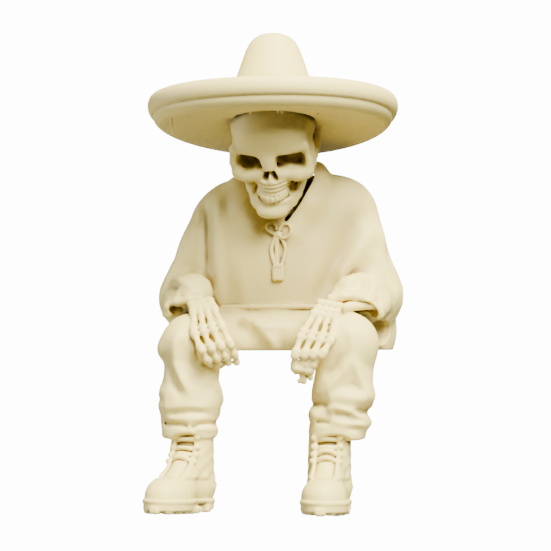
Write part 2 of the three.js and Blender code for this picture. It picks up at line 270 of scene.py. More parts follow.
def ease(low, high, v):
    t = np.clip((v - low) / (high - low), 0, 1)
    return t * t * (3 - 2 * t)


def chalk(u, v, points, width, height, ends=0.25):
    """The relief of one fold line on the plane of u and v."""
    lengths = [math.dist(a, b) for a, b in zip(points, points[1:])]
    total = sum(lengths)
    best = along = None
    done = 0.0
    for (au, av), (bu, bv), length in zip(points, points[1:], lengths):
        wu, wv = bu - au, bv - av
        t = np.clip(((u - au) * wu + (v - av) * wv) / length**2, 0, 1)
        gap = (u - au - t * wu) ** 2 + (v - av - t * wv) ** 2
        share = (done + t * length) / total
        if best is None:
            best, along = gap, share
        else:
            nearer = gap < best
            best = np.where(nearer, gap, best)
            along = np.where(nearer, share, along)
        done += length
    fade = ease(0, ends, along) * ease(0, ends, 1 - along) if ends else 1
    return height * np.exp(-best / width**2) * fade


def folds(u, v, lines):
    """Several fold lines together, each (points, width, height) or with the share of its ends."""
    return sum(chalk(u, v, *line) for line in lines)


def ripples(x, y, z, size, seed):
    """Slow uneven waves, always the same for one seed, between about -1 and 1."""
    draw = np.random.default_rng(seed)
    out = 0
    for _ in range(5):
        kx, ky, kz = draw.normal(size=3) * (2.0 / size)
        bend = draw.uniform(0, 2 * math.pi)
        lean = np.sin(kz * z + bend)
        out = out + np.sin(kx * x + ky * y + lean * 1.5 + bend)
    return out / 3


print("folds ready")

# %% [markdown]
# Some things repeat or follow a rule: the hat is a profile turned round a circle, teeth and
# lugs stand in rows, laces and cords follow a line. Geometry Nodes make those. Three small
# trees do it all, and each takes a curve, so the maker only draws lines.

# %% Geometry Nodes: helpers
ivory = bpy.data.materials.new("ivory plastic")
ivory.use_nodes = True


def new_tree(name, inputs):
    """A tree that takes a curve and named sizes, with a tidy way to add and join nodes."""
    tree = bpy.data.node_groups.new(name, "GeometryNodeTree")
    tree.interface.new_socket("Curve", in_out="INPUT", socket_type="NodeSocketGeometry")
    for label, kind in inputs.items():
        tree.interface.new_socket(label, in_out="INPUT", socket_type="NodeSocket" + kind)
    tree.interface.new_socket("Mesh", in_out="OUTPUT", socket_type="NodeSocketGeometry")
    return tree, tree.nodes.new("NodeGroupInput")


def node(tree, kind, settings=None, **inputs):
    """A node with its settings, its inputs joined to sockets or set to values."""
    made = tree.nodes.new(kind)
    for key, value in (settings or {}).items():
        setattr(made, key, value)
    for key, value in inputs.items():
        socket = made.inputs[int(key[1:])] if key[1:].isdigit() else made.inputs[key.replace("_", " ")]
        if isinstance(value, bpy.types.NodeSocket):
            tree.links.new(value, socket)
        else:
            socket.default_value = value
    return made


def calc(tree, operation, *values):
    """A sum, product or like step with numbers, from sockets or set values."""
    inputs = {f"_{i}": value for i, value in enumerate(values)}
    return node(tree, "ShaderNodeMath", {"operation": operation}, **inputs).outputs[0]


def close_tree(tree, geometry):
    """Ends the tree in Realize Instances and Set Material."""
    real = node(tree, "GeometryNodeRealizeInstances", Geometry=geometry)
    dressed = node(tree, "GeometryNodeSetMaterial", Geometry=real.outputs[0], Material=ivory)
    out = tree.nodes.new("NodeGroupOutput")
    tree.links.new(dressed.outputs[0], out.inputs[0])


def run_tree(tree, points, kind="POLY", closed=False, sharp=(), **sizes):
    """Draws a curve in millimetres, runs the tree on it and gives the mesh."""
    data = bpy.data.curves.new(tree.name, "CURVE")
    data.dimensions = "3D"
    line = data.splines.new(kind)
    own = line.bezier_points if kind == "BEZIER" else line.points
    own.add(len(points) - 1)
    for i, (place, spot) in enumerate(zip(points, own)):
        if kind == "BEZIER":
            spot.co = place
            spot.handle_left_type = spot.handle_right_type = "VECTOR" if i in sharp else "AUTO"
        else:
            spot.co = (*place, 1)
    line.use_cyclic_u = closed
    holder = bpy.data.objects.new(tree.name, data)
    bpy.context.scene.collection.objects.link(holder)
    modifier = holder.modifiers.new("tree", "NODES")
    modifier.node_group = tree
    keys = {s.name: s.identifier for s in tree.interface.items_tree if s.in_out == "INPUT"}
    for label, value in sizes.items():
        modifier[keys[label]] = value
    seen = bpy.context.evaluated_depsgraph_get()
    mesh = bpy.data.meshes.new_from_object(holder.evaluated_get(seen), depsgraph=seen)
    holder.modifiers.clear()
    bpy.data.objects.remove(holder)
    return mesh


def cast(mesh, reach=6):
    """A closed mesh as a form: its distances are worked out near its skin."""
    mesh.calc_loop_triangles()
    corners = np.empty(len(mesh.vertices) * 3, np.float32)
    mesh.vertices.foreach_get("co", corners)
    faces = np.empty(len(mesh.loop_triangles) * 3, np.int32)
    mesh.loop_triangles.foreach_get("vertices", faces)
    size = openvdb.createLinearTransform(voxelSize=STEP)
    grid = openvdb.FloatGrid.createLevelSetFromPolygons(
        corners.reshape(-1, 3), triangles=faces.reshape(-1, 3).astype(np.uint32),
        transform=size, halfWidth=reach,
    )

    def form(x, y, z):
        out = np.empty((x.size, y.size, z.size), np.float32)
        grid.copyToArray(out, ijk=tuple(int(round(float(v.flat[0]) / STEP)) for v in (x, y, z)))
        return out

    return form


print("tree helpers ready")

# %% Geometry Nodes: a profile turned round
turned_tree, given = new_tree("turned profile", {"Sides": "Int", "Rings": "Int", "Saddle": "Float"})
globe = node(turned_tree, "GeometryNodeMeshUVSphere", Segments=given.outputs["Sides"],
             Rings=given.outputs["Rings"], Radius=1.0)
globe_spot = node(turned_tree, "GeometryNodeInputPosition")
on_globe = node(turned_tree, "ShaderNodeSeparateXYZ", _0=globe_spot.outputs[0])
fall = calc(turned_tree, "ARCCOSINE", on_globe.outputs["Z"])
drawn = node(turned_tree, "GeometryNodeSampleCurve", {"mode": "FACTOR"}, Curves=given.outputs["Curve"],
             Factor=calc(turned_tree, "DIVIDE", fall, math.pi))
profile = node(turned_tree, "ShaderNodeSeparateXYZ", _0=drawn.outputs["Position"])
flat = node(turned_tree, "ShaderNodeCombineXYZ", X=on_globe.outputs["X"], Y=on_globe.outputs["Y"])
outward = node(turned_tree, "ShaderNodeVectorMath", {"operation": "NORMALIZE"}, _0=flat.outputs[0])
spoke = node(turned_tree, "ShaderNodeVectorMath", {"operation": "SCALE"}, _0=outward.outputs[0],
             Scale=profile.outputs["X"])
out_x, out_y, _ = node(turned_tree, "ShaderNodeSeparateXYZ", _0=spoke.outputs[0]).outputs
x_square, y_square = [calc(turned_tree, "MULTIPLY", v, v) for v in (out_x, out_y)]
bow = calc(turned_tree, "SUBTRACT", x_square, y_square)
lift = calc(turned_tree, "MULTIPLY_ADD", bow, given.outputs["Saddle"], profile.outputs["Z"])
whole = node(turned_tree, "ShaderNodeCombineXYZ", X=out_x, Y=out_y, Z=lift)
shaped = node(turned_tree, "GeometryNodeSetPosition", Geometry=globe.outputs["Mesh"],
              Position=whole.outputs[0])
close_tree(turned_tree, shaped.outputs[0])
print("turned profile:", len(turned_tree.nodes), "nodes")

# %% Geometry Nodes: a row of blocks on a line
row_tree, given = new_tree(
    "row on a line", {"Count": "Int", "Size": "Vector", "Uneven": "Float", "Seed": "Int"})
steps = node(row_tree, "GeometryNodeResampleCurve", Curve=given.outputs["Curve"],
             Count=given.outputs["Count"])
cube = node(row_tree, "GeometryNodeMeshCube", Size=given.outputs["Size"])
soft_cube = node(row_tree, "GeometryNodeSubdivisionSurface", Mesh=cube.outputs["Mesh"], Level=3,
                 Edge_Crease=0.35)
heading = node(row_tree, "GeometryNodeInputTangent")
facing = node(row_tree, "FunctionNodeAlignRotationToVector", {"axis": "X", "pivot_axis": "Z"},
              Vector=heading.outputs[0])
uneven = given.outputs["Uneven"]
chance = node(row_tree, "FunctionNodeRandomValue", {"data_type": "FLOAT"},
              _2=calc(row_tree, "SUBTRACT", 1.0, uneven), _3=calc(row_tree, "ADD", 1.0, uneven),
              Seed=given.outputs["Seed"])
stood = node(row_tree, "GeometryNodeInstanceOnPoints", Points=steps.outputs[0],
             Instance=soft_cube.outputs[0], Rotation=facing.outputs[0], Scale=chance.outputs[1])
close_tree(row_tree, stood.outputs[0])
print("row on a line:", len(row_tree.nodes), "nodes")

# %% Geometry Nodes: a cord along a line
cord_tree, given = new_tree("cord along a line", {"Radius": "Float", "Flatness": "Float"})
ring = node(cord_tree, "GeometryNodeCurvePrimitiveCircle", Resolution=12,
            Radius=given.outputs["Radius"])
squeeze = node(cord_tree, "ShaderNodeCombineXYZ", X=1.0, Y=given.outputs["Flatness"], Z=1.0)
oval = node(cord_tree, "GeometryNodeTransform", Geometry=ring.outputs[0], Scale=squeeze.outputs[0])
even = node(cord_tree, "GeometryNodeResampleCurve", {"mode": "LENGTH"}, Curve=given.outputs["Curve"],
            Length=0.3)
swept = node(cord_tree, "GeometryNodeCurveToMesh", Curve=even.outputs[0],
             Profile_Curve=oval.outputs[0], Fill_Caps=True)
close_tree(cord_tree, swept.outputs[0])


def cords(lines, radius, flatness=1.0):
    """Cords along smooth lines, melted together."""
    swept_lines = [run_tree(cord_tree, line, "BEZIER", Radius=radius, Flatness=flatness) for line in lines]
    return melt(0.25, *[cast(line) for line in swept_lines])


print("cord along a line:", len(cord_tree.nodes), "nodes")

# %% [markdown]
# The sombrero is the figure's one piece that follows a plain rule. Its profile is a drawn
# line from the middle of the crown, over the trough of the brim and round the rolled edge,
# back to the middle underneath. The brim's sides ride up a little, and the hat tips back.

# %% Hat
HAT_RADIUS = 44.6
HAT_CENTRE = (0.6, -40, 85.9)
HAT_TILT_BACK = math.radians(1.5)
HAT_SADDLE = 1.3
HAT_SIDES, HAT_RINGS = 288, 300
CROWN = [(0, 27.9), (4.6, 27.2), (7.8, 25.2), (9.5, 22.4), (10.4, 20.2), (11.5, 17), (13.1, 12.2),
         (15.2, 7.4), (19.4, 3.2), (28, 0), (35.4, -0.9)]
ROLLED_EDGE = [(39.6, 0.1), (41.9, 1.6), (43.5, 1.8), (44.5, 0.4), (44.7, -1.5), (44.2, -3.2),
               (43.4, -4.1), (42.9, -3.9), (42.7, -4.5), (42.6, -5.4), (41.7, -6.6), (40.2, -7.4)]
UNDERSIDE = [(37.6, -7.5), (32, -7.4), (26, -7.2), (20, -7), (10, -7), (0, -7)]
GROOVE = len(CROWN) + 7
HEAD_ROOM = ball((2.2, -52, 80), (14.3, 20.2, TALL))
HEAD_ROOM_DEPTH = block((0, -48, 76), (40, 40, 5.8), 0.8)
HAT_BOX = ((-47, -88, 74), (49, 8, 117))

hat_mesh = run_tree(
    turned_tree, [(r, 0, z) for r, z in CROWN + ROLLED_EDGE + UNDERSIDE], "BEZIER", sharp=(GROOVE,),
    Sides=HAT_SIDES, Rings=HAT_RINGS, Saddle=HAT_SADDLE / HAT_RADIUS**2,
)
hat_mesh.transform(Matrix.Translation(HAT_CENTRE) @ Matrix.Rotation(-HAT_TILT_BACK, 4, "X"))
clay.add(carve(0.3, cast(hat_mesh), keep(0.5, HEAD_ROOM, HEAD_ROOM_DEPTH)), *HAT_BOX)
print("hat:", len(hat_mesh.polygons), "faces")

# %% [markdown]
# The skull looks down. It is made upright in a frame of its own, face to -Y, and then turned
# and bowed. Its holes have edges that are worth care: the angular eye sockets, the nose like a
# heart upside down, and the gaps between the jaws. The jaw is added last, with two rows of
# teeth and a thin dark line between them.

# %% Skull: braincase and face
SKULL_CENTRE = (2.4, -44, 80.4)
SKULL_ROLL, SKULL_TURN, SKULL_BOW = 1, -5, 35


def turned(axis, degrees):
    return Matrix.Rotation(math.radians(degrees), 3, axis)


SKULL_POSE = turned("Y", SKULL_ROLL) @ turned("Z", SKULL_TURN) @ turned("X", SKULL_BOW)
cranium = melt(
    3,
    ball((-0.9, 1, 5), (15.7, 21.5, 18.5)),
    *both(lambda s: ball((0.1 + s * 4.4, -9.4, 1.5), (9.2, 10.4, 9.5))),
    ball((0.2, -5, -9), (12, 8, 7.5)),
)
brow = melt(
    2.2,
    limb((-12.4, -15.8, -2.4), (-5, -17.8, -3), 1.3),
    limb((4.6, -17.9, -2.6), (12.4, -15.4, -1.8), 1.3),
    ball((-0.1, -16.6, -3.4), (5.6, 2.7, 3.0)),
    ball((-0.3, -17.6, -6.8), (3.0, 2.6, 3.6)),
    limb((-0.3, -19.0, -6), (-0.4, -20.4, -8.6), 1.4, 0.9),
)
orbit = melt(
    2,
    bars([(-13.2, -14.8, -3.4), (-13.6, -14.9, -8), (-12.6, -15.6, -11.5), (-8.6, -17.1, -12.3),
          (-4.6, -18, -11.6)], [1.4, 1.5, 1.7, 1.8, 1.3]),
    bars([(13, -14.6, -2.8), (13.2, -14.8, -7), (12.4, -15.6, -10.9), (8.4, -17, -11.8),
          (4.4, -18, -11.4)], [1.4, 1.5, 1.8, 1.9, 1.3]),
    *both(lambda s: ball((s * 9.2, -14.4, -12.2), (4.8, 3.8, 2.6))),
    *both(lambda s: ball((s * 12.4, -11, -6.5), (2.5, 5, 5.6))),
)
upper_jaw = melt(
    1.6,
    keep(0.8, ball((-0.2, -13.4, 0), (6.5, 7.5, TALL)), block((0, -12, -15.4), (20, 20, 5.6), 0.8)),
    limb((-3.2, -17.4, -11.6), (-4.0, -17.2, -14), 1.3, 2),
    limb((3.0, -17.4, -11.6), (3.6, -17.2, -14), 1.3, 2),
    limb((-6, -15, -12.8), (-9.6, -14.2, -13.2), 1.8, 1.6),
    limb((5.6, -15, -12.6), (9.6, -14, -13), 1.8, 1.6),
    limb((-5.6, -11, -15), (-6.2, -11, -20.4), 1.6),
)
GUM_TOP, GUM_RIDGE, GUM_SPACING, GUM_TAPER = -13.7, 0.36, 1.56, 0.16


def gum_ridges(x, y, z):
    """The jaw narrows to the teeth, under low level ridges that rise a little to the sides."""
    level = z - 0.03 * x * x
    band = ease(-20.6, -19.4, level) * ease(-12.6, -13.8, level) * ease(-10, -13, y)
    waves = np.cos(2 * math.pi * (level - GUM_TOP) / GUM_SPACING)
    return GUM_RIDGE * band * waves - GUM_TAPER * np.clip(-12.5 - level, 0, 9)


def tipped(form, degrees, centre):
    """A form tipped about the face's own front-back axis and put in its place."""
    return placed(form, turned("Y", degrees), centre)


# centre, tip, half sizes of the egg and of the block that share the hole, rounding
SOCKETS = [
    ((-8.1, -18, -7.3), -7, (5.3, 8, 4.0), (4.6, 7, 3.3), 1.6),
    ((6.8, -18, -6.7), 2, (5.8, 8, 4.0), (5.0, 7, 3.1), 1.3),
]
sockets = [
    tipped(keep(0.6, ball((0, 0, -0.2), egg), block((0, 0, 0), half, soft)), tip, centre)
    for centre, tip, egg, half, soft in SOCKETS
]
nostrils = melt(
    0.3,
    *both(lambda s: tipped(ball((0, 0, 0), (1.35, 4.6, 2.3)), s * 27, (-0.3 - s * 1.35, -21, -11.2))),
    ball((-0.35, -21, -9.7), (0.8, 3.6, 1.1)),
)
temples = [ball((-19.4, -9, -1.4), (4.6, 7, 8)), ball((17.2, -12.6, -2), (4.4, 5.2, 8.5))]
skull_front = carve(0.4, carve(1.6, melt(2.0, cranium, brow, orbit), *temples), *sockets)
skull_front = carve(0.3, melt(1.4, skull_front, swell(upper_jaw, gum_ridges)), nostrils)
septum = limb((-0.4, -18.6, -9.8), (-0.3, -20.6, -13.2), 0.35, 0.6)
print("skull bowed", SKULL_BOW, "degrees")

# %% Skull: cheekbones, jaw and teeth
CHEEK_R = [2, 1.5, 1.2, 1.4]
cheeks = melt(
    0.8,
    bars([(-12, -14.6, -11.8), (-14.6, -9.5, -11), (-15.4, -3, -9.2), (-14.6, 3, -7.6)], CHEEK_R),
    bars([(12, -14.6, -11.6), (13.2, -9.5, -10.8), (13.4, -3, -9.2), (13, 3, -7.6)], CHEEK_R),
)
ear_knobs = melt(1, ball((-13.6, 5.6, -10.4), (2.4, 3, 4)), ball((10.4, 5.6, -10.4), (2.4, 3, 4)))
jaw_right_half = bars(
    [(-12, -2, -7), (-11.2, -5, -15), (-9.6, -8.5, -20.6), (-6.8, -13, -24), (-4.0, -16.4, -25.6)],
    [1.4, 1.4, 1.8, 2.4, 2.7], 1.6)
jaw_left_half = bars(
    [(11.4, -2, -7), (9.9, -5, -14.6), (7.4, -8.5, -20), (4.8, -13.0, -23.8), (1.8, -16.4, -25.8)],
    [1.4, 1.5, 1.8, 2.3, 2.5], 1.6)
jaw_links = [
    limb((-12, -6, -8.5), (-11, -8.4, -17.5), 0.9, 1.3),
    limb((11, -6, -8.5), (8.9, -8.4, -18), 1, 1.5),
    limb((7.4, -7.5, -21.2), (4.4, -14.2, -22), 1.7, 2.1),
    limb((-9, -7.5, -21), (-5, -14, -22), 1.4, 2),
]
chin = melt(
    1.4,
    ball((-1.4, -17.2, -25.8), (5.0, 3.5, 2.8)),
    ball((-0.8, -15.6, -21.9), (6.0, 3.7, 3.0)),
    limb((-7, -11.6, -21.8), (6.6, -11.6, -21.4), 2.4),
)
cheek_gaps = [
    melt(0.5, ball((7.1, -13.5, -16.6), (2.5, 5, 1.8)), ball((6.6, -13.5, -18.6), (1.4, 5, 1.8))),
    melt(0.5, ball((-8.0, -13.5, -16.4), (1.3, 5, 1.8)), ball((-7.6, -13.5, -18.8), (0.9, 5, 2.0))),
]
jaw = carve(0.5, melt(1.6, jaw_right_half, jaw_left_half, *jaw_links, chin), *cheek_gaps)
TOOTH_ARCH = (5.1, 6.2)
TOOTH_LINE_Z = -20.2
# how many, the size of one, the level, how far the row stands out, and its random seed
UPPER_TEETH = (11, (1.12, 1.8, 2.6), TOOTH_LINE_Z, 0.1, 4)
LOWER_TEETH = (10, (1.2, 1.3, 2.0), TOOTH_LINE_Z - 1.6, -1.2, 5)


def arch(count, z, grow=0.0):
    """Points round the dental arch, its ends a little higher than its middle."""
    wide, deep = TOOTH_ARCH[0] + grow, TOOTH_ARCH[1] + grow
    return [
        (wide * math.sin(a) - 0.4, -13.6 - deep * math.cos(a), z + 1.5 * math.sin(a) ** 2)
        for a in np.linspace(-1.25, 1.25, count)
    ]


def teeth(count, size, z, grow, seed):
    row = run_tree(row_tree, arch(24, z, grow), Count=count, Size=Vector(size), Uneven=0.05, Seed=seed)
    row.transform(Matrix.Translation(SKULL_CENTRE) @ SKULL_POSE.to_4x4())
    return cast(row, 4)


MOUTH_R = 0.6
SKULL_BOX = ((-20, -72, 40), (25, -14, 90))
skull = melt(0.4, melt(0.9, skull_front, cheeks, ear_knobs), jaw, septum)
mouth_line = bars(arch(14, TOOTH_LINE_Z - 1.75, 0.4), MOUTH_R, 0.2)
clay.add(placed(skull, SKULL_POSE, SKULL_CENTRE), *SKULL_BOX, soft=0.8)
clay.cut(placed(mouth_line, SKULL_POSE, SKULL_CENTRE), *SKULL_BOX, soft=0.3)
clay.add(melt(0.1, teeth(*UPPER_TEETH), teeth(*LOWER_TEETH)), *SKULL_BOX, soft=0.1)
TEMPLE_WALL = [(16.8, -40, 86), (16.2, -40, 77), (15.2, -40, 69.4), (13.2, -40, 65)]
TEMPLE_WALL_R = [1.4, 1.3, 1.3, 1.2]
clay.add(bars(TEMPLE_WALL, TEMPLE_WALL_R), *SKULL_BOX, soft=2.5)
print("skull and teeth in place")

# %% [markdown]
# Under the skull a short row of neck bones goes down into the collar.

# %% Neck
NECK_LINE = [(1.4, -12, 50), (1.6, -22, 60), (1.8, -31, 68), (2, -37, 75)]
NECK_BONE = Vector((5.2, 9, 8))
NECK_CORE_R = 3
neck_mesh = run_tree(row_tree, NECK_LINE, "BEZIER", Count=7, Size=NECK_BONE, Uneven=0.05, Seed=2)
clay.add(melt(1, cast(neck_mesh), bars(NECK_LINE, NECK_CORE_R)), (-8, -46, 42), (12, -4, 82), 0.8)
print("neck:", len(neck_mesh.polygons), "faces")

# %% [markdown]
# The poncho is the biggest cloth: one soft body over the hunched back, chest and upper arms.
# Its folds are chalked on the front, the back and the sides. The neck hole and the slot beside
# the jaw are cut last, so their edges stay crisp. A thin roll finishes the hem over the lap.

# %% Poncho: body
RIGHT_SHOULDER, RIGHT_ELBOW = (-22, -9, 47.6), (-35.4, -9, 20.6)
LEFT_SHOULDER, LEFT_ELBOW = (25, -9, 50.8), (36.4, -8, 21.6)
LAP_HEM_Z = 15.4
drape = melt(
    7,
    ball((1, -3, 14), (40, 26, 26)),
    ball((1, 1, 7), (44, 22.4, 27)),
    ball((1, -4, 22), (38, 23, 36)),
    ball((1, -9, 38), (31, 23, 27)),
    limb((1, -9, 46), (1, -13.5, 61.5), 18, 12.4),
    limb(RIGHT_SHOULDER, RIGHT_ELBOW, 12.6, 10),
    limb(LEFT_SHOULDER, LEFT_ELBOW, 13.4, 10),
    ball((14, -18, 54), (11, 11, 10.5)),
    ball((-11, -18, 51), (11, 11, 10.5)),
    ball((-16.5, -12, 54.6), (10.6, 11, 9.6)),
    ball((22, -12, 57), (10, 10, 8.2)),
)
drape = melt(
    5,
    drape,
    bars([(7, -30.5, 44), (12, -29.5, 54), (15.6, -26, 61.5), (15.2, -20, 67)], [3.4, 4.6, 4.4, 3.6], 3),
    bars([(-6, -29, 45), (-10, -27, 53), (-13, -22, 61)], [3, 4, 4], 3),
)
FRONT_FOLDS = [
    ([(-26.6, 60), (-26.4, 41), (-26.2, 32), (-26, 25)], 2.2, -2.0, 0.3),
    ([(-21.4, 62), (-21.4, 41), (-21.2, 28), (-20.4, 13)], 2.8, 1.6, 0.2),
    ([(-14, 38), (-12, 27), (-9.4, 13)], 2.8, 0.4),
    ([(32, 55), (28.3, 45.5), (24.9, 38), (21.2, 30.5), (18, 23.2), (14.6, 13)], 3.0, -1.7),
    ([(40, 48), (33.4, 39.4), (27.2, 31.6), (21.6, 23)], 3.6, 1.5),
    ([(31.5, 31), (26.5, 25.6), (21, 20)], 1.8, -0.8),
    ([(12, 44), (15, 33), (12, 20)], 3.4, 0.5),
    ([(-29, 49), (-33.3, 42), (-38, 36.4), (-43.4, 32)], 2.6, 1.0),
    ([(-30.8, 46), (-36.5, 38), (-43, 32)], 2.2, -0.8),
    ([(-40, 30), (-34, 31.6), (-29, 29)], 1.8, -0.6),
    ([(40, 42), (42, 31), (43, 18)], 2.4, -0.6),
    ([(36, 38), (38.5, 30), (40, 22)], 2.4, 0.6),
]
SIDE_FOLDS = [
    ([(-14, 52), (-17, 34), (-16, 12)], 2.8, 1.1),
    ([(-6, 56), (-6, 34), (-4, 4)], 2.6, -1.2),
    ([(2, 56), (4, 34), (6, 2)], 3.0, 1.1),
    ([(9, 48), (12, 28), (13, 2)], 2.4, -1.0),
]
BACK_FOLDS = [
    ([(-22, 52), (-29, 30), (-33, 2)], 2.8, -1.2),
    ([(-14, 56), (-18, 30), (-21, 2)], 3.0, 1.2),
    ([(-6, 52), (-8, 28), (-9, 2)], 2.6, -1.2),
    ([(3, 54), (3, 28), (4, 2)], 3.0, 1.2),
    ([(12, 52), (14, 28), (16, 2)], 2.6, -1.2),
    ([(20, 54), (25, 30), (28, 2)], 2.8, 1.1),
    ([(28, 46), (34, 26), (38, 4)], 2.2, -1.0),
]


def poncho_relief(x, y, z):
    front = folds(x, z, FRONT_FOLDS) * ease(-8, -17, y)
    sides = folds(y, z, SIDE_FOLDS) * ease(26, 34, abs(x - 1))
    back = folds(x, z, BACK_FOLDS) * ease(4, 12, y)
    return front + sides + back + 0.14 * ripples(x, y, z, 16, 3)


print("poncho folds:", len(FRONT_FOLDS + SIDE_FOLDS + BACK_FOLDS))

# %% Poncho: neck hole, hem and underside
neck_hole = melt(
    2,
    limb((2, -17, 56), (3.4, -37, 79), 6.5, 12.6),
    limb((2.8, -28, 56), (3.4, -38, 46.5), 4.0, 1.2),
)
lap_gap = block((0, -53, -24), (80, 40, 24 + LAP_HEM_Z), 0.8)
under_drape = [
    limb((39.6, -48, 4.5), (38.6, -11, 7), 4.8, 4.4),
    limb((39.8, -48, -5), (39.4, -11, -3), 4.8, 4.2),
    limb((-41, -48, 8), (-40.4, -28, 9), 2.6, 2.0),
]
NECK_SLOT = [(13.9, 65.0, 0.7), (13.3, 63.2, 1.5), (12.6, 61.3, 1.3), (11.3, 58, 0.9),
             (9.7, 54.7, 0.75), (7.9, 51.8, 0.65), (6.1, 49.4, 0.6), (4.5, 47.4, 0.6)]


def neck_slot():
    """The narrow dark gap between the jaw and the standing collar on the figure's left.

    It runs back and a little up, as one looks into it from the front.
    """
    stops = np.linspace(0, len(NECK_SLOT) - 1, 31)
    rows = [np.interp(stops, range(len(NECK_SLOT)), row) for row in np.array(NECK_SLOT).T]
    return melt(0.6, *[limb((x + 1, -48, z - 2.5), (x - 1.2, -12, z + 2.7), r) for x, z, r in zip(*rows)])


poncho = carve(0.6, swell(drape, poncho_relief), neck_hole, lap_gap)
NECK_SLOT_BOX = ((-6, -48, 40), (24, -8, 76))
poncho = carve(0.4, poncho, nearby(neck_slot(), *NECK_SLOT_BOX), *under_drape)
HEM_ROLL = [(-19, -29.6, 15.8), (-8, -30.7, 15.9), (4, -31.1, 15.9), (17, -30.4, 15.8)]
HEM_ROLL_R = 0.9
poncho = melt(1.2, poncho, bars(HEM_ROLL, HEM_ROLL_R))
above_seat = block((0, 0, 60), (90, 90, 60), 0.2)
PONCHO_BOX = ((-50, -42, -2), (51, 27, 78))
clay.add(keep(0.3, poncho, above_seat), *PONCHO_BOX, soft=0.6)
print("poncho in place")

# %% [markdown]
# The poncho's sides are turned back over the forearms and end in a thick rolled edge. Each
# sleeve is a short fat tube with a mouth cut in its front, and the arm bones pass through it.

# %% Sleeves
ARMS = {
    -1: dict(
        elbow=RIGHT_ELBOW, cuff=(-28.2, -38, 20.8), wrist=(-24, -48, 16), cuff_r=6.4,
        mouth=[(-33.6, 14.6), (-31.2, 14.4), (-29, 13.6)], mouth_r=1.6, mouth_end=-37,
        edge=[(-37.6, -40, 13), (-36.4, -42.4, 15.6), (-33, -44.4, 17.4), (-28.4, -45.4, 18),
              (-25, -45, 18.2)],
    ),
    1: dict(
        elbow=LEFT_ELBOW, cuff=(27.6, -38, 20.6), wrist=(21.4, -48.6, 15.2), cuff_r=5.2,
        mouth=[(26.4, 14.6), (28.4, 15.2), (30.4, 15.6), (32, 15.6), (33.4, 15.2), (34.6, 14.2),
               (35.2, 12.8)],
        mouth_r=1.6, mouth_end=-33,
        edge=[(21.4, -45, 18.2), (25.3, -45.6, 18.8), (30.1, -45.4, 18.9), (34.3, -43.6, 17.1),
              (37.2, -41, 14), (38.2, -39.6, 12.4)],
    ),
}


def shift(point, *by):
    return tuple(p + b for p, b in zip(point, by))


def mid(a, b, share=0.5):
    return tuple(p + (q - p) * share for p, q in zip(a, b))


SLEEVE_FOLDS = {
    -1: [
        ([(-43.5, 27), (-36, 26.2), (-31.5, 24.8), (-26.5, 21)], 1.6, 1.0, 0.2),
        ([(-43, 23), (-35.7, 22.6), (-31, 22.4)], 1.2, -0.8, 0.2),
        ([(-41, 31), (-34, 29), (-29, 29.4)], 1.3, -0.5),
    ],
    1: [
        ([(24, 23), (30, 26.4), (36, 26), (41, 21)], 1.8, 0.8, 0.2),
        ([(23, 27), (30, 30.5), (38, 32)], 1.6, -0.5),
    ],
}
ROLL_R = 1.05
DENT, GRIT = 0.2, 0.13


def crumple(x, y, z, side):
    """Small dents and a rough print skin, most of all near the rolled edge."""
    dents = DENT * ripples(x, y, z, 3.2, 20 + side)
    return dents + GRIT * ease(-24, -36, y) * ripples(x, y, z, 1.1, 30 + side)


def sleeve(side):
    own = ARMS[side]
    elbow, cuff = own["elbow"], own["cuff"]
    cloth = melt(
        5,
        limb(elbow, cuff, 9.4, own["cuff_r"]),
        limb(shift(elbow, side * 1.5, 1, -4), shift(cuff, side * 4, 7, -3), 6.5, 3.6),
        limb(shift(elbow, -side * 1.5, 0, 6), elbow, 9.0, 9.4),
    )
    flare = [limb(spot, mid(spot, elbow), 1.0, 5.4) for spot in own["edge"]]
    cloth = swell(
        melt(1.2, melt(2.4, cloth, *flare), bars(own["edge"], ROLL_R)),
        lambda x, y, z: folds(x, z, SLEEVE_FOLDS[side]) * ease(-18, -26, y) + crumple(x, y, z, side),
    )
    mouth = [
        limb((x, -56, z), (x + side * 2, own["mouth_end"], z), own["mouth_r"]) for x, z in own["mouth"]
    ]
    return carve(0.5, cloth, melt(1.2, *mouth))


SLEEVE_BOXES = {-1: ((-50, -52, 2), (-12, 6, 46)), 1: ((12, -52, 2), (51, 6, 46))}
for side in (-1, 1):
    clay.add(keep(0.3, sleeve(side), above_seat), *SLEEVE_BOXES[side], soft=3.0)
for tool in under_drape:
    clay.cut(tool, (-48, -52, -10), (48, 0, 16), 0.8)
print("sleeves in place")

# %% [markdown]
# Each hand is a fan of small bones over the knee. A finger bone is a thin bar with a knob at
# each end. The rows of knobs are given for the little finger and the first finger, and the
# two fingers between them share the way.

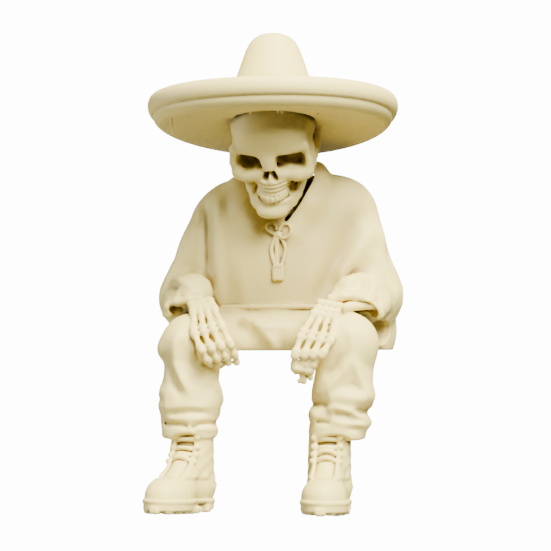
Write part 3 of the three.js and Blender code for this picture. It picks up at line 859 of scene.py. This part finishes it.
# %% Hands
HANDS = {
    -1: dict(
        rows=[
            ((-26.0, -50.2, 14.0), (-19.2, -50.6, 15.2)),
            ((-24.7, -57.3, 6.2), (-15.2, -56.8, 8.4)),
            ((-21.8, -60.3, 0.6), (-12.1, -58.6, 2.3)),
            ((-19.8, -58.2, -3.4), (-10.9, -56.2, -1.4)),
            ((-19.0, -54.6, -4.6), (-10.5, -53.4, -4.2)),
        ],
        forearm=[(-25.4, -47.6, 15.4), (-31, -36, 15.6), (-35, -14, 15.6)],
        pits=[(-23.7, 9.8, 0.6), (-21, 10.6, 0.5), (-18.1, 11, 0.5), (-22.1, 4.3, 0.6), (-19.1, 4.5, 0.5),
              (-15.9, 5.8, 0.5)],
        lumps=[],
    ),
    1: dict(
        rows=[
            ((23.4, -50.8, 12.2), (16.6, -51.4, 13.6)),
            ((21.9, -57.2, 3.7), (11.9, -57.4, 5.3)),
            ((19.2, -60.2, -1.0), (9.9, -60, -1.2)),
            ((15.6, -58, -5.2), (9.6, -57.8, -5.0)),
            ((14.8, -55, -7.2), (10, -54.6, -7.0)),
        ],
        forearm=[(23.6, -48, 14.2), (28, -46.4, 15.2), (35, -41, 16), (38, -26, 16)],
        pits=[(18.3, 8.2, 0.7), (18, 7, 0.6), (21, 8.6, 0.5), (15.5, 1.2, 0.5)],
        lumps=[
            ball((10.8, -57.6, -6.0), (2.6, 2.2, 1.7)),
            ball((14.0, -57.2, -6.6), (2.4, 2.2, 1.6)),
            limb((11.9, -56.4, -7), (12.7, -55.8, -10.4), 1.3, 1.0),
            limb((14.4, -56.4, -7), (14.9, -55.8, -9.2), 1.1, 1.0),
            ball((11.2, -55.8, -10.2), (1.0, 1.0, 0.9)),
        ],
    ),
}
KNOB_R, SHAFT_R = 1.74, 1.12
FOREARM_R = 1.6
CARPAL, WRIST_KNOB = (1.8, 1.9, 1.5), (2.4, 2.8, 2.1)


def finger_bone(a, b, knob, shaft):
    """A shaft with a knob at each end."""
    return melt(0.5, ball(a, (knob, knob, knob)), ball(b, (knob * 0.94,) * 3), limb(a, b, shaft))


def hand(side):
    own = HANDS[side]
    rows = own["rows"]
    bones = []
    for i in range(4):
        line = [mid(outer, inner, i / 3) for outer, inner in rows]
        sizes = np.linspace(1.0, 0.82, len(line) - 1)
        for a, b, size in zip(line, line[1:], sizes):
            start, stop = mid(a, b, 0.12), mid(a, b, 0.88)
            bones.append(finger_bone(start, stop, KNOB_R * size, SHAFT_R * size))
    wrist = ARMS[side]["wrist"]
    palm = mid(*rows[0])
    carpals = [
        ball(shift(mid(wrist, palm, t), side * -across, -0.4, up + 0.2 * across), CARPAL)
        for t, up in ((0.1, 0.9), (0.75, 0.2))
        for across in (-3.1, -1, 1, 3.1)
    ]
    start = own["forearm"][0]
    arm = [
        bars(own["forearm"], FOREARM_R),
        ball(shift(start, 0, 1, 0.2), WRIST_KNOB),
        ball(shift(start, side * -3.2, 0.6, 1.2), WRIST_KNOB),
    ]
    pits = [limb((x, -68, z), (x, -53, z), r) for x, z, r in own["pits"]]
    return carve(0.25, melt(0.3, melt(0.5, *carpals, *arm), *bones, *own["lumps"]), *pits)


HAND_BOXES = {-1: ((-40, -66, -14), (-6, -8, 26)), 1: ((4, -66, -18), (42, -8, 26))}
for side in (-1, 1):
    clay.add(hand(side), *HAND_BOXES[side], soft=0.25)
print("hands in place")

# %% [markdown]
# The trousers are loose cotton. The lap lies flat on the seat, and the lower legs hang over
# the shelf's edge and bunch up above the boots.

# %% Trousers: lap
KNEES = {-1: (-27.2, -46, 2.2), 1: (27, -46, 2.4)}
KNEE_R = 10.6
CALF_LINE = -35
LAP_FOLDS = [
    ([(-22, 14.8), (-11.9, 12.8), (-5.5, 10.2), (2.2, 7.6)], 1.9, 1.2, 0.15),
    ([(-14, 11), (-9, 7.4), (-5.4, 3.4), (-3.4, -2)], 2.6, -0.8, 0.2),
    ([(-8, 10.6), (-3.4, 7), (0, 3), (1.2, -2)], 1.8, 0.9, 0.2),
    ([(2.8, 8.4), (3.2, -2)], 1.8, -0.5, 0.2),
    ([(13, 9.5), (10, 5), (8, -2)], 2.6, -0.6, 0.2),
    ([(-17, 9), (-11.6, 3.4), (-9, -2)], 2.2, 0.7),
    ([(6, 13), (13, 12), (19, 9)], 2.2, 0.5),
]
THIGHS = [limb((side * 16, -4, 5), KNEES[side], 13, KNEE_R) for side in (-1, 1)]
lap = melt(6, ball((0, -9, 6.3), (33, 27.4, 14)), *THIGHS)
lap = swell(
    lap,
    lambda x, y, z: folds(x, z, LAP_FOLDS) * ease(-22, -30, y) * ease(17, 12, abs(x + 1))
    + 0.12 * ripples(x, y, z, 9, 8),
)


def above_seat_or_in_front(x, y, z):
    """The space over the shelf's top and in front of its edge."""
    return np.minimum(-z, y - CALF_LINE) + 0 * x


LAP_BOX = ((-42, -60, -12), (42, 20, 22))
clay.add(keep(0.3, lap, above_seat_or_in_front), *LAP_BOX, soft=0.9)
HEM_GAP = [(-20, -31.2, 14.5), (-8, -32.1, 14.4), (4, -32.4, 14.4), (15, -31.8, 14.4)]
HEM_GAP_R = [0.5, 0.7, 0.7, 0.5]
clay.cut(bars(HEM_GAP, HEM_GAP_R), (-24, -36, 12), (20, -28, 17), soft=0.4)
print("lap in place")

# %% Trousers: lower legs
HEM_Z = -30.4
LEGS = {
    -1: dict(shin=(-28.4, -45.4, -18), hem=(-28, -46, HEM_Z)),
    1: dict(shin=(25, -45.4, -16), hem=(23.4, -46, HEM_Z)),
}
LEG_FOLDS = {
    -1: [
        ([(-28.2, 11), (-31.4, 3), (-32.3, -3.6), (-30.6, -8), (-28.2, -12), (-24.6, -18)], 2.0, 1.6, 0.3),
        ([(-33.9, 1), (-34.2, -5.6), (-31.6, -11.4), (-27.2, -17)], 2.0, -1.3),
        ([(-25.6, 3), (-23.6, -3.2), (-19.4, -8)], 1.6, 1.2),
        ([(-28.2, 5), (-26.6, -1.8), (-24.2, -8.2), (-21.5, -13)], 2.2, -0.8),
        ([(-36.6, 0), (-37, -7.3), (-36.4, -14)], 1.8, -0.6),
        ([(-39.4, -16.4), (-35.4, -17.6)], 1.6, -0.5),
        ([(-37, -20), (-28, -18.8), (-18.4, -19.4)], 1.6, 0.6, 0.15),
        ([(-34.8, -21.6), (-26, -20.5), (-20.3, -21.2)], 1.1, -0.7, 0.25),
        ([(-36.5, -23.2), (-30, -23), (-24, -23.4), (-18.4, -22.8)], 1.2, 0.5, 0.2),
        ([(-36.6, -25), (-34.4, -25.1), (-29.4, -25.2), (-26.6, -26)], 0.9, -1.1, 0.1),
        ([(-26.4, -26.6), (-23.4, -24.9), (-20.4, -24.9), (-17.4, -25.6)], 0.9, -1.0, 0.12),
        ([(-25, -26.8), (-21.6, -26.6), (-17.6, -27.4)], 0.9, 0.5),
    ],
    1: [
        ([(28.4, 12), (28.6, 2), (28.2, -3)], 2.2, 0.9, 0.4),
        ([(28.8, 1), (26, -6.7), (21.8, -10.9), (18.9, -14.4), (18.4, -18)], 1.9, 1.5, 0.35),
        ([(28.6, 1), (30.5, -6.4), (33.7, -12.8), (34.8, -18)], 1.8, 1.2, 0.35),
        ([(27.1, 7), (25.5, -0.9), (23.2, -5.4), (18.4, -10)], 2.0, -1.1),
        ([(30.6, 6), (32.8, -3), (35.9, -9)], 2.0, -0.7),
        ([(26.4, -10), (28, -13), (30, -10)], 2.6, -0.5),
        ([(20, -16), (27, -15.4), (34.5, -17)], 2.0, 0.7, 0.1),
        ([(14.4, -18.4), (18.4, -18), (20.8, -18.9)], 1.2, -1.1, 0.1),
        ([(29.2, -19.7), (32.1, -20.7), (37, -21.4)], 1.2, -1.0, 0.15),
        ([(19.6, -20.6), (23, -19), (28, -20.4), (35, -23.2)], 1.2, 0.9, 0.15),
        ([(22, -21.2), (26, -21.4), (29, -22)], 0.9, -0.6),
        ([(15.6, -24), (19, -24.2), (22, -24.6)], 0.9, -0.8),
        ([(20.8, -23.2), (26, -24.6), (32, -25), (35, -24.6)], 1.0, 0.5, 0.2),
        ([(26, -26.4), (33, -26.2)], 1.1, -0.5, 0.3),
    ],
}
LEG_BULGES = {
    -1: [ball((-35.5, -44, 0.8), (4.2, 7, 4.6)), ball((-20.6, -45, -17), (4.2, 8, 6))],
    1: [ball((17.2, -46.5, -22), (3.4, 7, 3.4)), ball((32.4, -46, -15.6), (4.2, 8, 3.6)),
        ball((31, -45.5, -24.6), (4.0, 7.4, 3.2))],
}


def lower_leg(side):
    knee, shin, hem = KNEES[side], LEGS[side]["shin"], LEGS[side]["hem"]
    cloth = melt(
        4,
        limb(knee, shin, KNEE_R, 9.4),
        limb(shin, shift(hem, 0, 0, 3), 9.8, 8.6),
        limb(shift(hem, 0, 0, 2), shift(hem, 0, 0, -1), 8.8, 8.6),
    )
    cloth = melt(2.2, cloth, *LEG_BULGES[side])

    def relief(x, y, z):
        front = folds(x, z, LEG_FOLDS[side]) * ease(-42, -47, y)
        bunch = 0.3 * np.sin((z + 0.12 * x * side) * 1.15) * ease(-14, -20, z) * ease(-49, -44, y)
        return front + bunch + 0.16 * ripples(x, y, z, 10, 5 + side)

    hem_cut = block((hem[0], hem[1], HEM_Z + 40), (30, 40, 40), 1.2)
    over_tongue = ball(shift(hem, side * -0.6, -11, -0.8), (7.2, 5.6, 3.2))
    return carve(0.8, keep(1.2, swell(cloth, relief), hem_cut), over_tongue)


LEG_BOXES = {-1: ((-44, -60, -34), (-8, -33, 16)), 1: ((8, -60, -34), (44, -33, 16))}
for side in (-1, 1):
    clay.add(keep(0.3, lower_leg(side), above_seat_or_in_front), *LEG_BOXES[side], soft=1.2)
print("legs in place")

# %% [markdown]
# The laced boots are made in a frame of their own, toe to -Y. Laces, eyelet flaps and the
# lugs under the sole are what the eye looks for, so each has real depth.

# %% Boots: upper and sole
BOOTS = {
    -1: dict(ankle=(-26.7, -46.5, -55.6), toe_turn=-12),
    1: dict(ankle=(21.1, -46.5, -55.4), toe_turn=-3.5),
}
BOOT_TOE_UP = -6.7
HEEL_Y, TOE_Y = 8.4, -33.6
SOLE_MID, SOLE_HALF = 2.8, 1.8
WELT_MID, WELT_HALF, WELT_OUT = 3.9, 0.6, 0.35


def sole_outline(x, y, z):
    """How far a point is outside the sole's outline, seen from above."""
    front = ball((0.2, TOE_Y + 12, 0), (7.7, 12, TALL))(x, y, 0 * z)
    waist = block((0, -10, 0), (6.0, 14, TALL), 5)(x, y, 0 * z)
    back = ball((0, HEEL_Y - 7.4, 0), (6.9, 7.4, TALL))(x, y, 0 * z)
    return blend(blend(front, waist, 2), back, 2)


def boot_sole(x, y, z):
    outline = sole_outline(x, y, z)
    slab = np.maximum(outline, abs(z - SOLE_MID) - SOLE_HALF)
    welt = np.maximum(outline - WELT_OUT, abs(z - WELT_MID) - WELT_HALF)
    return np.minimum(slab, welt)


boot_upper = melt(
    3,
    limb((-0.6, 0.2, 9.5), (0.2, -3.2, 29), 7.6, 6.9),
    limb((-0.2, 1.6, 8), (-0.4, -14, 7.6), 6.6, 5.8),
    ball((0.1, -21, 5.6), (7.2, 11.4, 6.4)),
    limb((-0.6, -4, 20), (-0.4, -15, 10), 4.6, 4.6),
)


def boot_relief(x, y, z):
    mid_x = x + 0.5
    front = ease(-1, -5, y)
    flaps = 0.7 * ease(3.1, 3.7, abs(mid_x)) * ease(8.6, 6.6, abs(mid_x)) * ease(10.6, 12, z) * front
    tongue = -0.7 * ease(3.7, 3.1, abs(mid_x)) * ease(10.4, 12.4, z) * front
    toe_cap = -0.4 * np.exp(-(((y + 21.5 + 0.03 * x * x) / 0.6) ** 2)) * ease(3, 5, z)
    cap_swell = 0.4 * ease(-21, -22.4, y + 0.03 * x * x)
    heel_seam = 0.4 * np.exp(-(((z - 9.4 - 0.25 * (y - 4)) / 0.5) ** 2)) * ease(-2, 2, y)
    crease = 0.12 * np.sin((z - 0.7 * y) * 1.3) * ease(3, 6, abs(x)) * ease(9, 13, z) * ease(24, 20, z)
    return flaps + tongue + toe_cap + cap_swell + heel_seam + crease


boot_skin = swell(boot_upper, boot_relief)
heel_notch = block((0, -6.8, 0.4), (20, 3.6, 2.6), 0.5)
boot_body = melt(
    0.4,
    keep(0.4, boot_skin, block((0, 0, 33), (40, 60, 30), 0.2)),
    carve(0.2, boot_sole, heel_notch),
)
print("boot", round(HEEL_Y - TOE_Y, 1), "mm long")

# %% Boots: laces and lugs
TOUCH_STEPS, TOUCH_CARE = 80, 0.7
INSTEP_SLOPE, INSTEP_START = 0.45, 40
TONGUE_X = -0.5
LACE_R, LACE_FLATNESS = 0.78, 0.85
LACE_REACH, LACE_TILT = 4.6, 0.45
LACE_ROWS = {
    -1: [(21.0, -1.0, 1), (17.7, -0.8, -1), (14.7, -0.3, 1), (11.7, 1.0, -1)],
    1: [(21.2, -1.0, -1), (18.1, -0.6, 1), (15.1, 0.8, -1), (12.1, 0.4, 1)],
}
EYELET = (1.05, 1.05, 1.05)
LUG_COUNT, LUG = 21, Vector((3.4, 3.4, 2.6))
LUG_OVAL, LUG_MIDDLE = (6.3, 19.7), (-12.6, 1.25)


def touch(form, start, way):
    """Walks from outside a form along a way until it meets the skin."""
    p = np.array(start, float)
    step = np.array(way, float) / np.linalg.norm(way)
    for _ in range(TOUCH_STEPS):
        gap = float(np.asarray(form(*[np.full((1, 1, 1), v, np.float32) for v in p])).flat[0])
        p = p + step * max(gap, 0) * TOUCH_CARE
    return p


def on_instep(x, z, out):
    """A point of the boot's front at this height, a little proud of the skin."""
    start = (x, -INSTEP_START, z + INSTEP_START * INSTEP_SLOPE)
    return touch(boot_skin, start, (0, 1, -INSTEP_SLOPE)) + np.array((0, -out, out * 0.4))


def lace_line(height, sag, tilt):
    """A lace spans the tongue from flap to flap, sags and stands clear of it."""
    line = []
    for share in np.linspace(-1, 1, 7):
        arc = 1 - share * share
        z = height + sag * arc + LACE_TILT * tilt * share
        line.append(on_instep(share * LACE_REACH + TONGUE_X, z, 0.45 + 0.5 * arc))
    return line


def lace_lines(side):
    """Two laces for each row, leaning opposite ways."""
    return [
        lace_line(height, sag, tilt)
        for height, sag, lean in LACE_ROWS[side]
        for tilt in (lean, -0.6 * lean)
    ]


def lug_line():
    """Points round the sole's rim, where the lugs stand."""
    turns = np.linspace(0, 2 * math.pi, 40, endpoint=False)
    wide, long = LUG_OVAL
    middle, height = LUG_MIDDLE
    return [(wide * math.sin(a), middle - long * math.cos(a), height) for a in turns]


for side in (-1, 1):
    ankle = BOOTS[side]["ankle"]
    pose = turned("Z", BOOTS[side]["toe_turn"]) @ turned("X", BOOT_TOE_UP)
    whole_pose = Matrix.Translation(ankle) @ pose.to_4x4()
    lugs = run_tree(row_tree, lug_line(), closed=True, Count=LUG_COUNT, Size=LUG, Uneven=0.1,
                    Seed=11 + side)
    lugs.transform(whole_pose)
    laces = [[whole_pose @ Vector(p) for p in line] for line in lace_lines(side)]
    eyelets = [
        ball(whole_pose @ Vector(on_instep(s * LACE_REACH + TONGUE_X, row[0] - 0.1, 0.1)), EYELET)
        for row in LACE_ROWS[side] for s in (-1, 1)
    ]
    box = (shift(ankle, -14, -42, -6), shift(ankle, 14, 14, 30))
    clay.add(placed(boot_body, pose, ankle), *box, 0.3)
    clay.add(cords(laces, LACE_R, LACE_FLATNESS), *box, 0.15)
    clay.add(melt(0.1, *eyelets), *box, 0.25)
    clay.add(cast(lugs), *box, 0.2)
    clay.cut(placed(heel_notch, pose, ankle), *box, 0.3)
print("boots in place")

# %% [markdown]
# A thin cord is tied at the point of the collar. Its two loops and its flat ends lie on the
# chest: each point is given as it is seen from the front, with how far it stands off the
# cloth. The ends meet in a bound tassel.

# %% Neck tie
TIE_LOOPS = [
    [(1.6, 41.6, 1.1), (-0.6, 42.8, 1.6), (-2.1, 44.2, 1.5), (-1.1, 46, 1.0), (0.9, 45.4, 0.9),
     (1.3, 43.4, 1.0)],
    [(2.0, 41.6, 1.1), (4.4, 40.6, 1.7), (6.8, 42.8, 1.5), (5.8, 45.4, 1.0), (3.6, 45.4, 0.9),
     (2.2, 43.4, 1.0)],
]
TIE_ENDS = [
    [(1.7, 42, 0.9), (0.3, 40, 0.7), (-0.6, 37, 0.6), (-0.3, 34, 0.6), (0.5, 31.4, 0.6)],
    [(1.8, 42, 0.9), (1.4, 39, 0.7), (1.3, 35.5, 0.6), (1.5, 31.4, 0.6)],
    [(2.1, 42, 0.9), (3.6, 39.6, 0.7), (4.5, 36.8, 0.6), (4.0, 34, 0.6), (3.2, 31.4, 0.6)],
]
TIE_LOOP_R, TIE_END_R, TIE_END_FLATNESS = 0.6, 0.85, 0.8
TIE_BOX = ((-6, -38, 22), (11, -26, 50))
chest = swell(drape, poncho_relief)


def on_chest(x, z, out):
    """A point this far in front of the poncho's chest."""
    met = touch(chest, (x, -44, z), (0, 1, 0))
    return (x, float(met[1]) - out, z)


def laid(lines):
    return [[on_chest(*point) for point in line] for line in lines]


top, foot = on_chest(1.9, 30.6, 0.6), on_chest(1.8, 25.6, 0.6)
tassel = melt(0.4, block(mid(top, foot), (2.15, 1.3, 2.9), 0.7), block(top, (1.8, 1.5, 0.7), 0.5))
tassel = swell(tassel, lambda x, y, z: 0.14 * np.cos((x - 1.9) * 5.2) * ease(30, 29, z))
knot = ball(on_chest(1.9, 42, 1.1), (1.3, 1.1, 1.1))
clay.add(cords(laid(TIE_LOOPS), TIE_LOOP_R), *TIE_BOX, soft=0.25)
clay.add(cords(laid(TIE_ENDS), TIE_END_R, TIE_END_FLATNESS), *TIE_BOX, soft=0.2)
clay.add(melt(0.5, tassel, knot), *TIE_BOX, soft=0.3)
print("tie in place")

# %% [markdown]
# Printing leaves small marks, and the real figure shows them: blobs where supports broke off
# under the brim, and two hair-thin strings of plastic, on a cheekbone and under the brim.

# %% Print marks
SUPPORT_STUBS = [(-3.9, -70.8, 78.2), (5.2, -71.8, 78.1), (6.6, -71.7, 78.1), (18.2, -66, 78.35)]
STUB = (0.5, 0.5, 0.5)
STRINGS = [
    [(6.6, -58.4, 57.2), (9, -59.8, 57.4), (11, -59, 57.1), (13.2, -55, 56.8)],
    [(-32.4, -60, 79.6), (-32.1, -60.3, 76.4), (-32.2, -60.1, 73.6)],
]
STRING_R = 0.42
clay.add(melt(0.3, *[ball(spot, STUB) for spot in SUPPORT_STUBS]), (-26, -88, 72), (40, 6, 88), 0.3)
clay.add(cords(STRINGS, STRING_R), (-36, -66, 50), (20, -50, 84), 0.1)
print("print marks:", len(SUPPORT_STUBS), "stubs,", len(STRINGS), "strings")

# %% [markdown]
# Now the block gets its skin. A light blur rounds every edge as a hot nozzle does, the skin is
# taken off as a mesh, and a decimation keeps the triangles where the shape is busy.

# %% Skin
MOST_TRIANGLES = 190000
ROUND_PASSES = 1


def blur(cells, axis):
    """Mixes each cell with its neighbours on one axis."""
    first = np.roll(cells, 1, axis)
    last = np.roll(cells, -1, axis)
    return 0.5 * cells + 0.25 * (first + last)


field = np.clip(clay.cells, -FAR, FAR)
for _ in range(ROUND_PASSES):
    for axis in range(3):
        field = blur(field, axis)
grid = openvdb.FloatGrid(FAR)
grid.copyFromArray(field.astype(np.float32), tolerance=0.0)
points, _, quads = grid.convertToPolygons(isovalue=0.0, adaptivity=0.0)
print("skin:", len(points), "points,", len(quads), "quads")

places = (points + clay.first) * (STEP * MM)
mesh = bpy.data.meshes.new("figure")
mesh.vertices.add(len(places))
mesh.vertices.foreach_set("co", places.astype(np.float32).ravel())
mesh.loops.add(len(quads) * 4)
mesh.loops.foreach_set("vertex_index", quads[:, ::-1].astype(np.int32).ravel())
mesh.polygons.add(len(quads))
mesh.polygons.foreach_set("loop_start", np.arange(0, len(quads) * 4, 4, dtype=np.int32))
mesh.update(calc_edges=True)
mesh.validate()
figure = bpy.data.objects.new("figure", mesh)
bpy.context.scene.collection.objects.link(figure)
thinner = figure.modifiers.new("thin out", "DECIMATE")
thinner.ratio = min(1.0, MOST_TRIANGLES / (2 * len(quads)))
seen = bpy.context.evaluated_depsgraph_get()
thin = bpy.data.meshes.new_from_object(figure.evaluated_get(seen), depsgraph=seen)
figure.modifiers.clear()
figure.data = thin
thin.shade_smooth()
print("figure:", sum(len(face.vertices) - 2 for face in thin.polygons), "triangles")

# %% [markdown]
# A printed figure hangs together, so the mesh has to be one shell. Each corner takes the lowest
# number that it can reach along the edges, so a shell's corners end with the same number. The
# biggest shell stays, and slivers that came loose beside thin things are taken away.

# %% Skin: one shell


def shell_numbers(mesh):
    """The lowest corner number of the shell that each corner belongs to."""
    ends = np.empty(len(mesh.edges) * 2, np.int32)
    mesh.edges.foreach_get("vertices", ends)
    first, last = ends[0::2], ends[1::2]
    numbers = np.arange(len(mesh.vertices))
    while True:
        lower = numbers.copy()
        shared = np.minimum(numbers[first], numbers[last])
        np.minimum.at(lower, first, shared)
        np.minimum.at(lower, last, shared)
        lower = lower[lower]
        if (lower == numbers).all():
            return numbers
        numbers = lower


shells = shell_numbers(thin)
kinds, counts = np.unique(shells, return_counts=True)
work = bmesh.new()
work.from_mesh(thin)
work.verts.ensure_lookup_table()
loose = [work.verts[i] for i in np.nonzero(shells != kinds[counts.argmax()])[0]]
bmesh.ops.delete(work, geom=loose, context="VERTS")
open_edges = sum(not edge.is_manifold for edge in work.edges)
work.to_mesh(thin)
work.free()
print("shells:", len(kinds), "found, one kept;", open_edges, "open edges")

# %% [markdown]
# The plastic is the colour of cream and lets a little light in. The warm brown in its hollows is
# painted shade: the base colour is darkened by how deep each point lies in a hollow, counted from
# the block as the share of solid cells around that point. Three sizes are counted: what the brim
# and the cloth shelter, hollows such as an eye socket, and creases such as the gap between two bones.

# %% Hollows
# these counts set the painted shade: a darker, browner colour in hollows, creases and under the brim
# the size in millimetres, and every how many cells one is counted
HOLLOWS = {"shelter": (20.0, 3), "hollow": (5.0, 1), "crease": (1.5, 1)}


def mean_along(cells, reach, axis):
    """The mean over a stretch of cells on one axis."""
    pad = [(0, 0)] * 3
    pad[axis] = (reach + 1, reach)
    total = np.cumsum(np.pad(cells, pad, mode="edge"), axis=axis, dtype=np.float32)
    span = 2 * reach + 1
    after = [slice(None)] * 3
    before = [slice(None)] * 3
    after[axis] = slice(span, None)
    before[axis] = slice(None, -span)
    return (total[tuple(after)] - total[tuple(before)]) / span


def read_cells(cells, spots):
    """The value of the block at each spot, mixed from its eight nearest cells."""
    spots = np.clip(spots, 0, np.array(cells.shape) - 1.001)
    base = np.floor(spots).astype(int)
    part = (spots - base).astype(np.float32)
    out = 0
    for corner in np.ndindex(2, 2, 2):
        share = np.prod(np.where(corner, part, 1 - part), axis=1)
        out = out + share * cells[tuple((base + corner).T)]
    return out


corners = np.empty(len(thin.vertices) * 3, np.float32)
thin.vertices.foreach_get("co", corners)
spots = corners.reshape(-1, 3) / (STEP * MM) - clay.first
for name, (size, stride) in HOLLOWS.items():
    share_solid = (field[::stride, ::stride, ::stride] < 0).astype(np.float32)
    reach = int(round(size / STEP / stride / 2))
    for axis in (0, 1, 2, 0, 1, 2):
        share_solid = mean_along(share_solid, reach, axis)
    value = read_cells(share_solid, spots / stride)
    thin.attributes.new(name, "FLOAT", "POINT").data.foreach_set("value", value.astype(np.float32))
    print(name, "from", round(float(value.min()), 2), "to", round(float(value.max()), 2))

# %% [markdown]
# The finish mixes a lit and a shaded cream by those counts. Fine level layers and a little
# grain are a bump on the height, so the print's lines show and cost no triangles.

# %% Ivory plastic
# the cream as it looks lit, and the same cream as painted shade, warm brown
LIT = (0.76, 0.63, 0.195, 1)
SHADED = (0.15, 0.088, 0.010, 1)
LAYER_MM = 0.5
GRAIN_SCALE, GRAIN_SHARE = 700.0, 1.5
BUMP_STRENGTH, BUMP_MM = 0.15, 0.03
plastic = ivory.node_tree
shader = plastic.nodes["Principled BSDF"]
shader.inputs["Roughness"].default_value = 0.5
shader.inputs["Specular IOR Level"].default_value = 0.3
shader.inputs["IOR"].default_value = 1.46
shader.inputs["Subsurface Weight"].default_value = 0.15
shader.inputs["Subsurface Radius"].default_value = (1.0, 0.7, 0.3)
shader.inputs["Subsurface Scale"].default_value = 2.0 * MM


def shade_by(name, low, high, most):
    """How strongly a hollow of this size is shaded, from its count of solid cells."""
    depth = node(plastic, "ShaderNodeAttribute", {"attribute_name": name}).outputs["Fac"]
    return node(plastic, "ShaderNodeMapRange", {"interpolation_type": "SMOOTHSTEP"}, Value=depth,
                From_Min=low, From_Max=high, To_Max=most).outputs[0]


# painted shade: hollows, creases and the brim's shelter darken the base colour from LIT towards SHADED
hollow, crease = shade_by("hollow", 0.5, 0.76, 1.0), shade_by("crease", 0.53, 0.74, 0.85)
small_painted_shade = calc(plastic, "MAXIMUM", hollow, crease)
shade = calc(plastic, "MAXIMUM", small_painted_shade, shade_by("shelter", 0.36, 0.7, 0.5))
mixed = node(plastic, "ShaderNodeMix", {"data_type": "RGBA"}, _0=shade, _6=LIT, _7=SHADED)
plastic.links.new(mixed.outputs[2], shader.inputs["Base Color"])

object_space = node(plastic, "ShaderNodeTexCoord").outputs["Object"]
object_axes = node(plastic, "ShaderNodeSeparateXYZ", _0=object_space)
layer_angle = calc(plastic, "MULTIPLY", object_axes.outputs["Z"], 2 * math.pi / (LAYER_MM * MM))
layers = calc(plastic, "SINE", layer_angle)
grain = node(plastic, "ShaderNodeTexNoise", Vector=object_space, Scale=GRAIN_SCALE, Detail=3.0)
skin_height = calc(plastic, "MULTIPLY_ADD", grain.outputs["Fac"], GRAIN_SHARE, layers)
bump = node(plastic, "ShaderNodeBump", Height=skin_height, Strength=BUMP_STRENGTH, Distance=BUMP_MM * MM)
plastic.links.new(bump.outputs[0], shader.inputs["Normal"])
thin.materials.clear()
thin.materials.append(ivory)
print("ivory plastic:", len(plastic.nodes), "nodes")

# %% [markdown]
# The whole figure is one piece. It rides on the frame's root, takes the place of the CAD
# figure and has one finish.

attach(figure, "root")
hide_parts(NODE)
print("figure rides on root")

# %% [markdown]
# The photograph has a white ground and a warm soft light, so a pale floor lies far below and
# the camera sees a white backdrop, which gives hardly any light of its own. The warm key light
# stands high in front on the right. A lower lamp shines in under the brim from the same side,
# and a weak one keeps the left side from going dark.

# %% Stage and light
FLOOR_Z, FLOOR_HALF = -0.47, 2.0
SHADOW_LIGHT, BACKDROP_LIGHT = 0.06, 14.0
LAMP_AIM = Vector((0, -0.03, 0.02))
# place, watts, size, opening angle in degrees, colour
LAMPS = {
    "key": ((0.26, -0.46, 0.84), 3.3, 0.3, 50, (1, 0.94, 0.66)),
    "left fill": ((-0.8, -0.05, 0.1), 0.8, 0.4, 60, (1, 1, 1)),
    "right fill": ((0.33, -0.67, 0.44), 3.2, 0.4, 60, (1, 1, 1)),
}

floor_mesh = bpy.data.meshes.new("floor")
floor_corners = [(-FLOOR_HALF, -FLOOR_HALF, FLOOR_Z), (FLOOR_HALF, -FLOOR_HALF, FLOOR_Z),
                 (FLOOR_HALF, FLOOR_HALF, FLOOR_Z), (-FLOOR_HALF, FLOOR_HALF, FLOOR_Z)]
floor_mesh.from_pydata(floor_corners, [], [(0, 1, 2, 3)])
floor = bpy.data.objects.new("floor", floor_mesh)
bpy.context.scene.collection.objects.link(floor)
paper = bpy.data.materials.new("pale floor")
paper.use_nodes = True
paper.node_tree.nodes["Principled BSDF"].inputs["Base Color"].default_value = (0.9, 0.9, 0.9, 1)
paper.node_tree.nodes["Principled BSDF"].inputs["Roughness"].default_value = 0.9
floor_mesh.materials.append(paper)

for name, (place, watts, size, opening, colour) in LAMPS.items():
    data = bpy.data.lights.new(name, "AREA")
    data.energy = watts
    data.size = size
    data.color = colour
    data.spread = math.radians(opening)
    lamp = bpy.data.objects.new(name, data)
    lamp.location = place
    lamp.rotation_euler = (LAMP_AIM - Vector(place)).to_track_quat("-Z", "Y").to_euler()
    bpy.context.scene.collection.objects.link(lamp)

room = bpy.data.worlds.new("pale room")
room.use_nodes = True
shadows = room.node_tree.nodes["Background"]
shadows.inputs["Color"].default_value = (1, 1, 1, 1)
shadows.inputs["Strength"].default_value = SHADOW_LIGHT
backdrop = node(room.node_tree, "ShaderNodeBackground", Color=(1, 1, 1, 1), Strength=BACKDROP_LIGHT)
ray = node(room.node_tree, "ShaderNodeLightPath")
seen_room = node(room.node_tree, "ShaderNodeMixShader", _0=ray.outputs["Is Camera Ray"],
                 _1=shadows.outputs[0], _2=backdrop.outputs[0])
room.node_tree.links.new(seen_room.outputs[0], room.node_tree.nodes["World Output"].inputs["Surface"])
bpy.context.scene.world = room
print("lights:", len(bpy.data.lights))
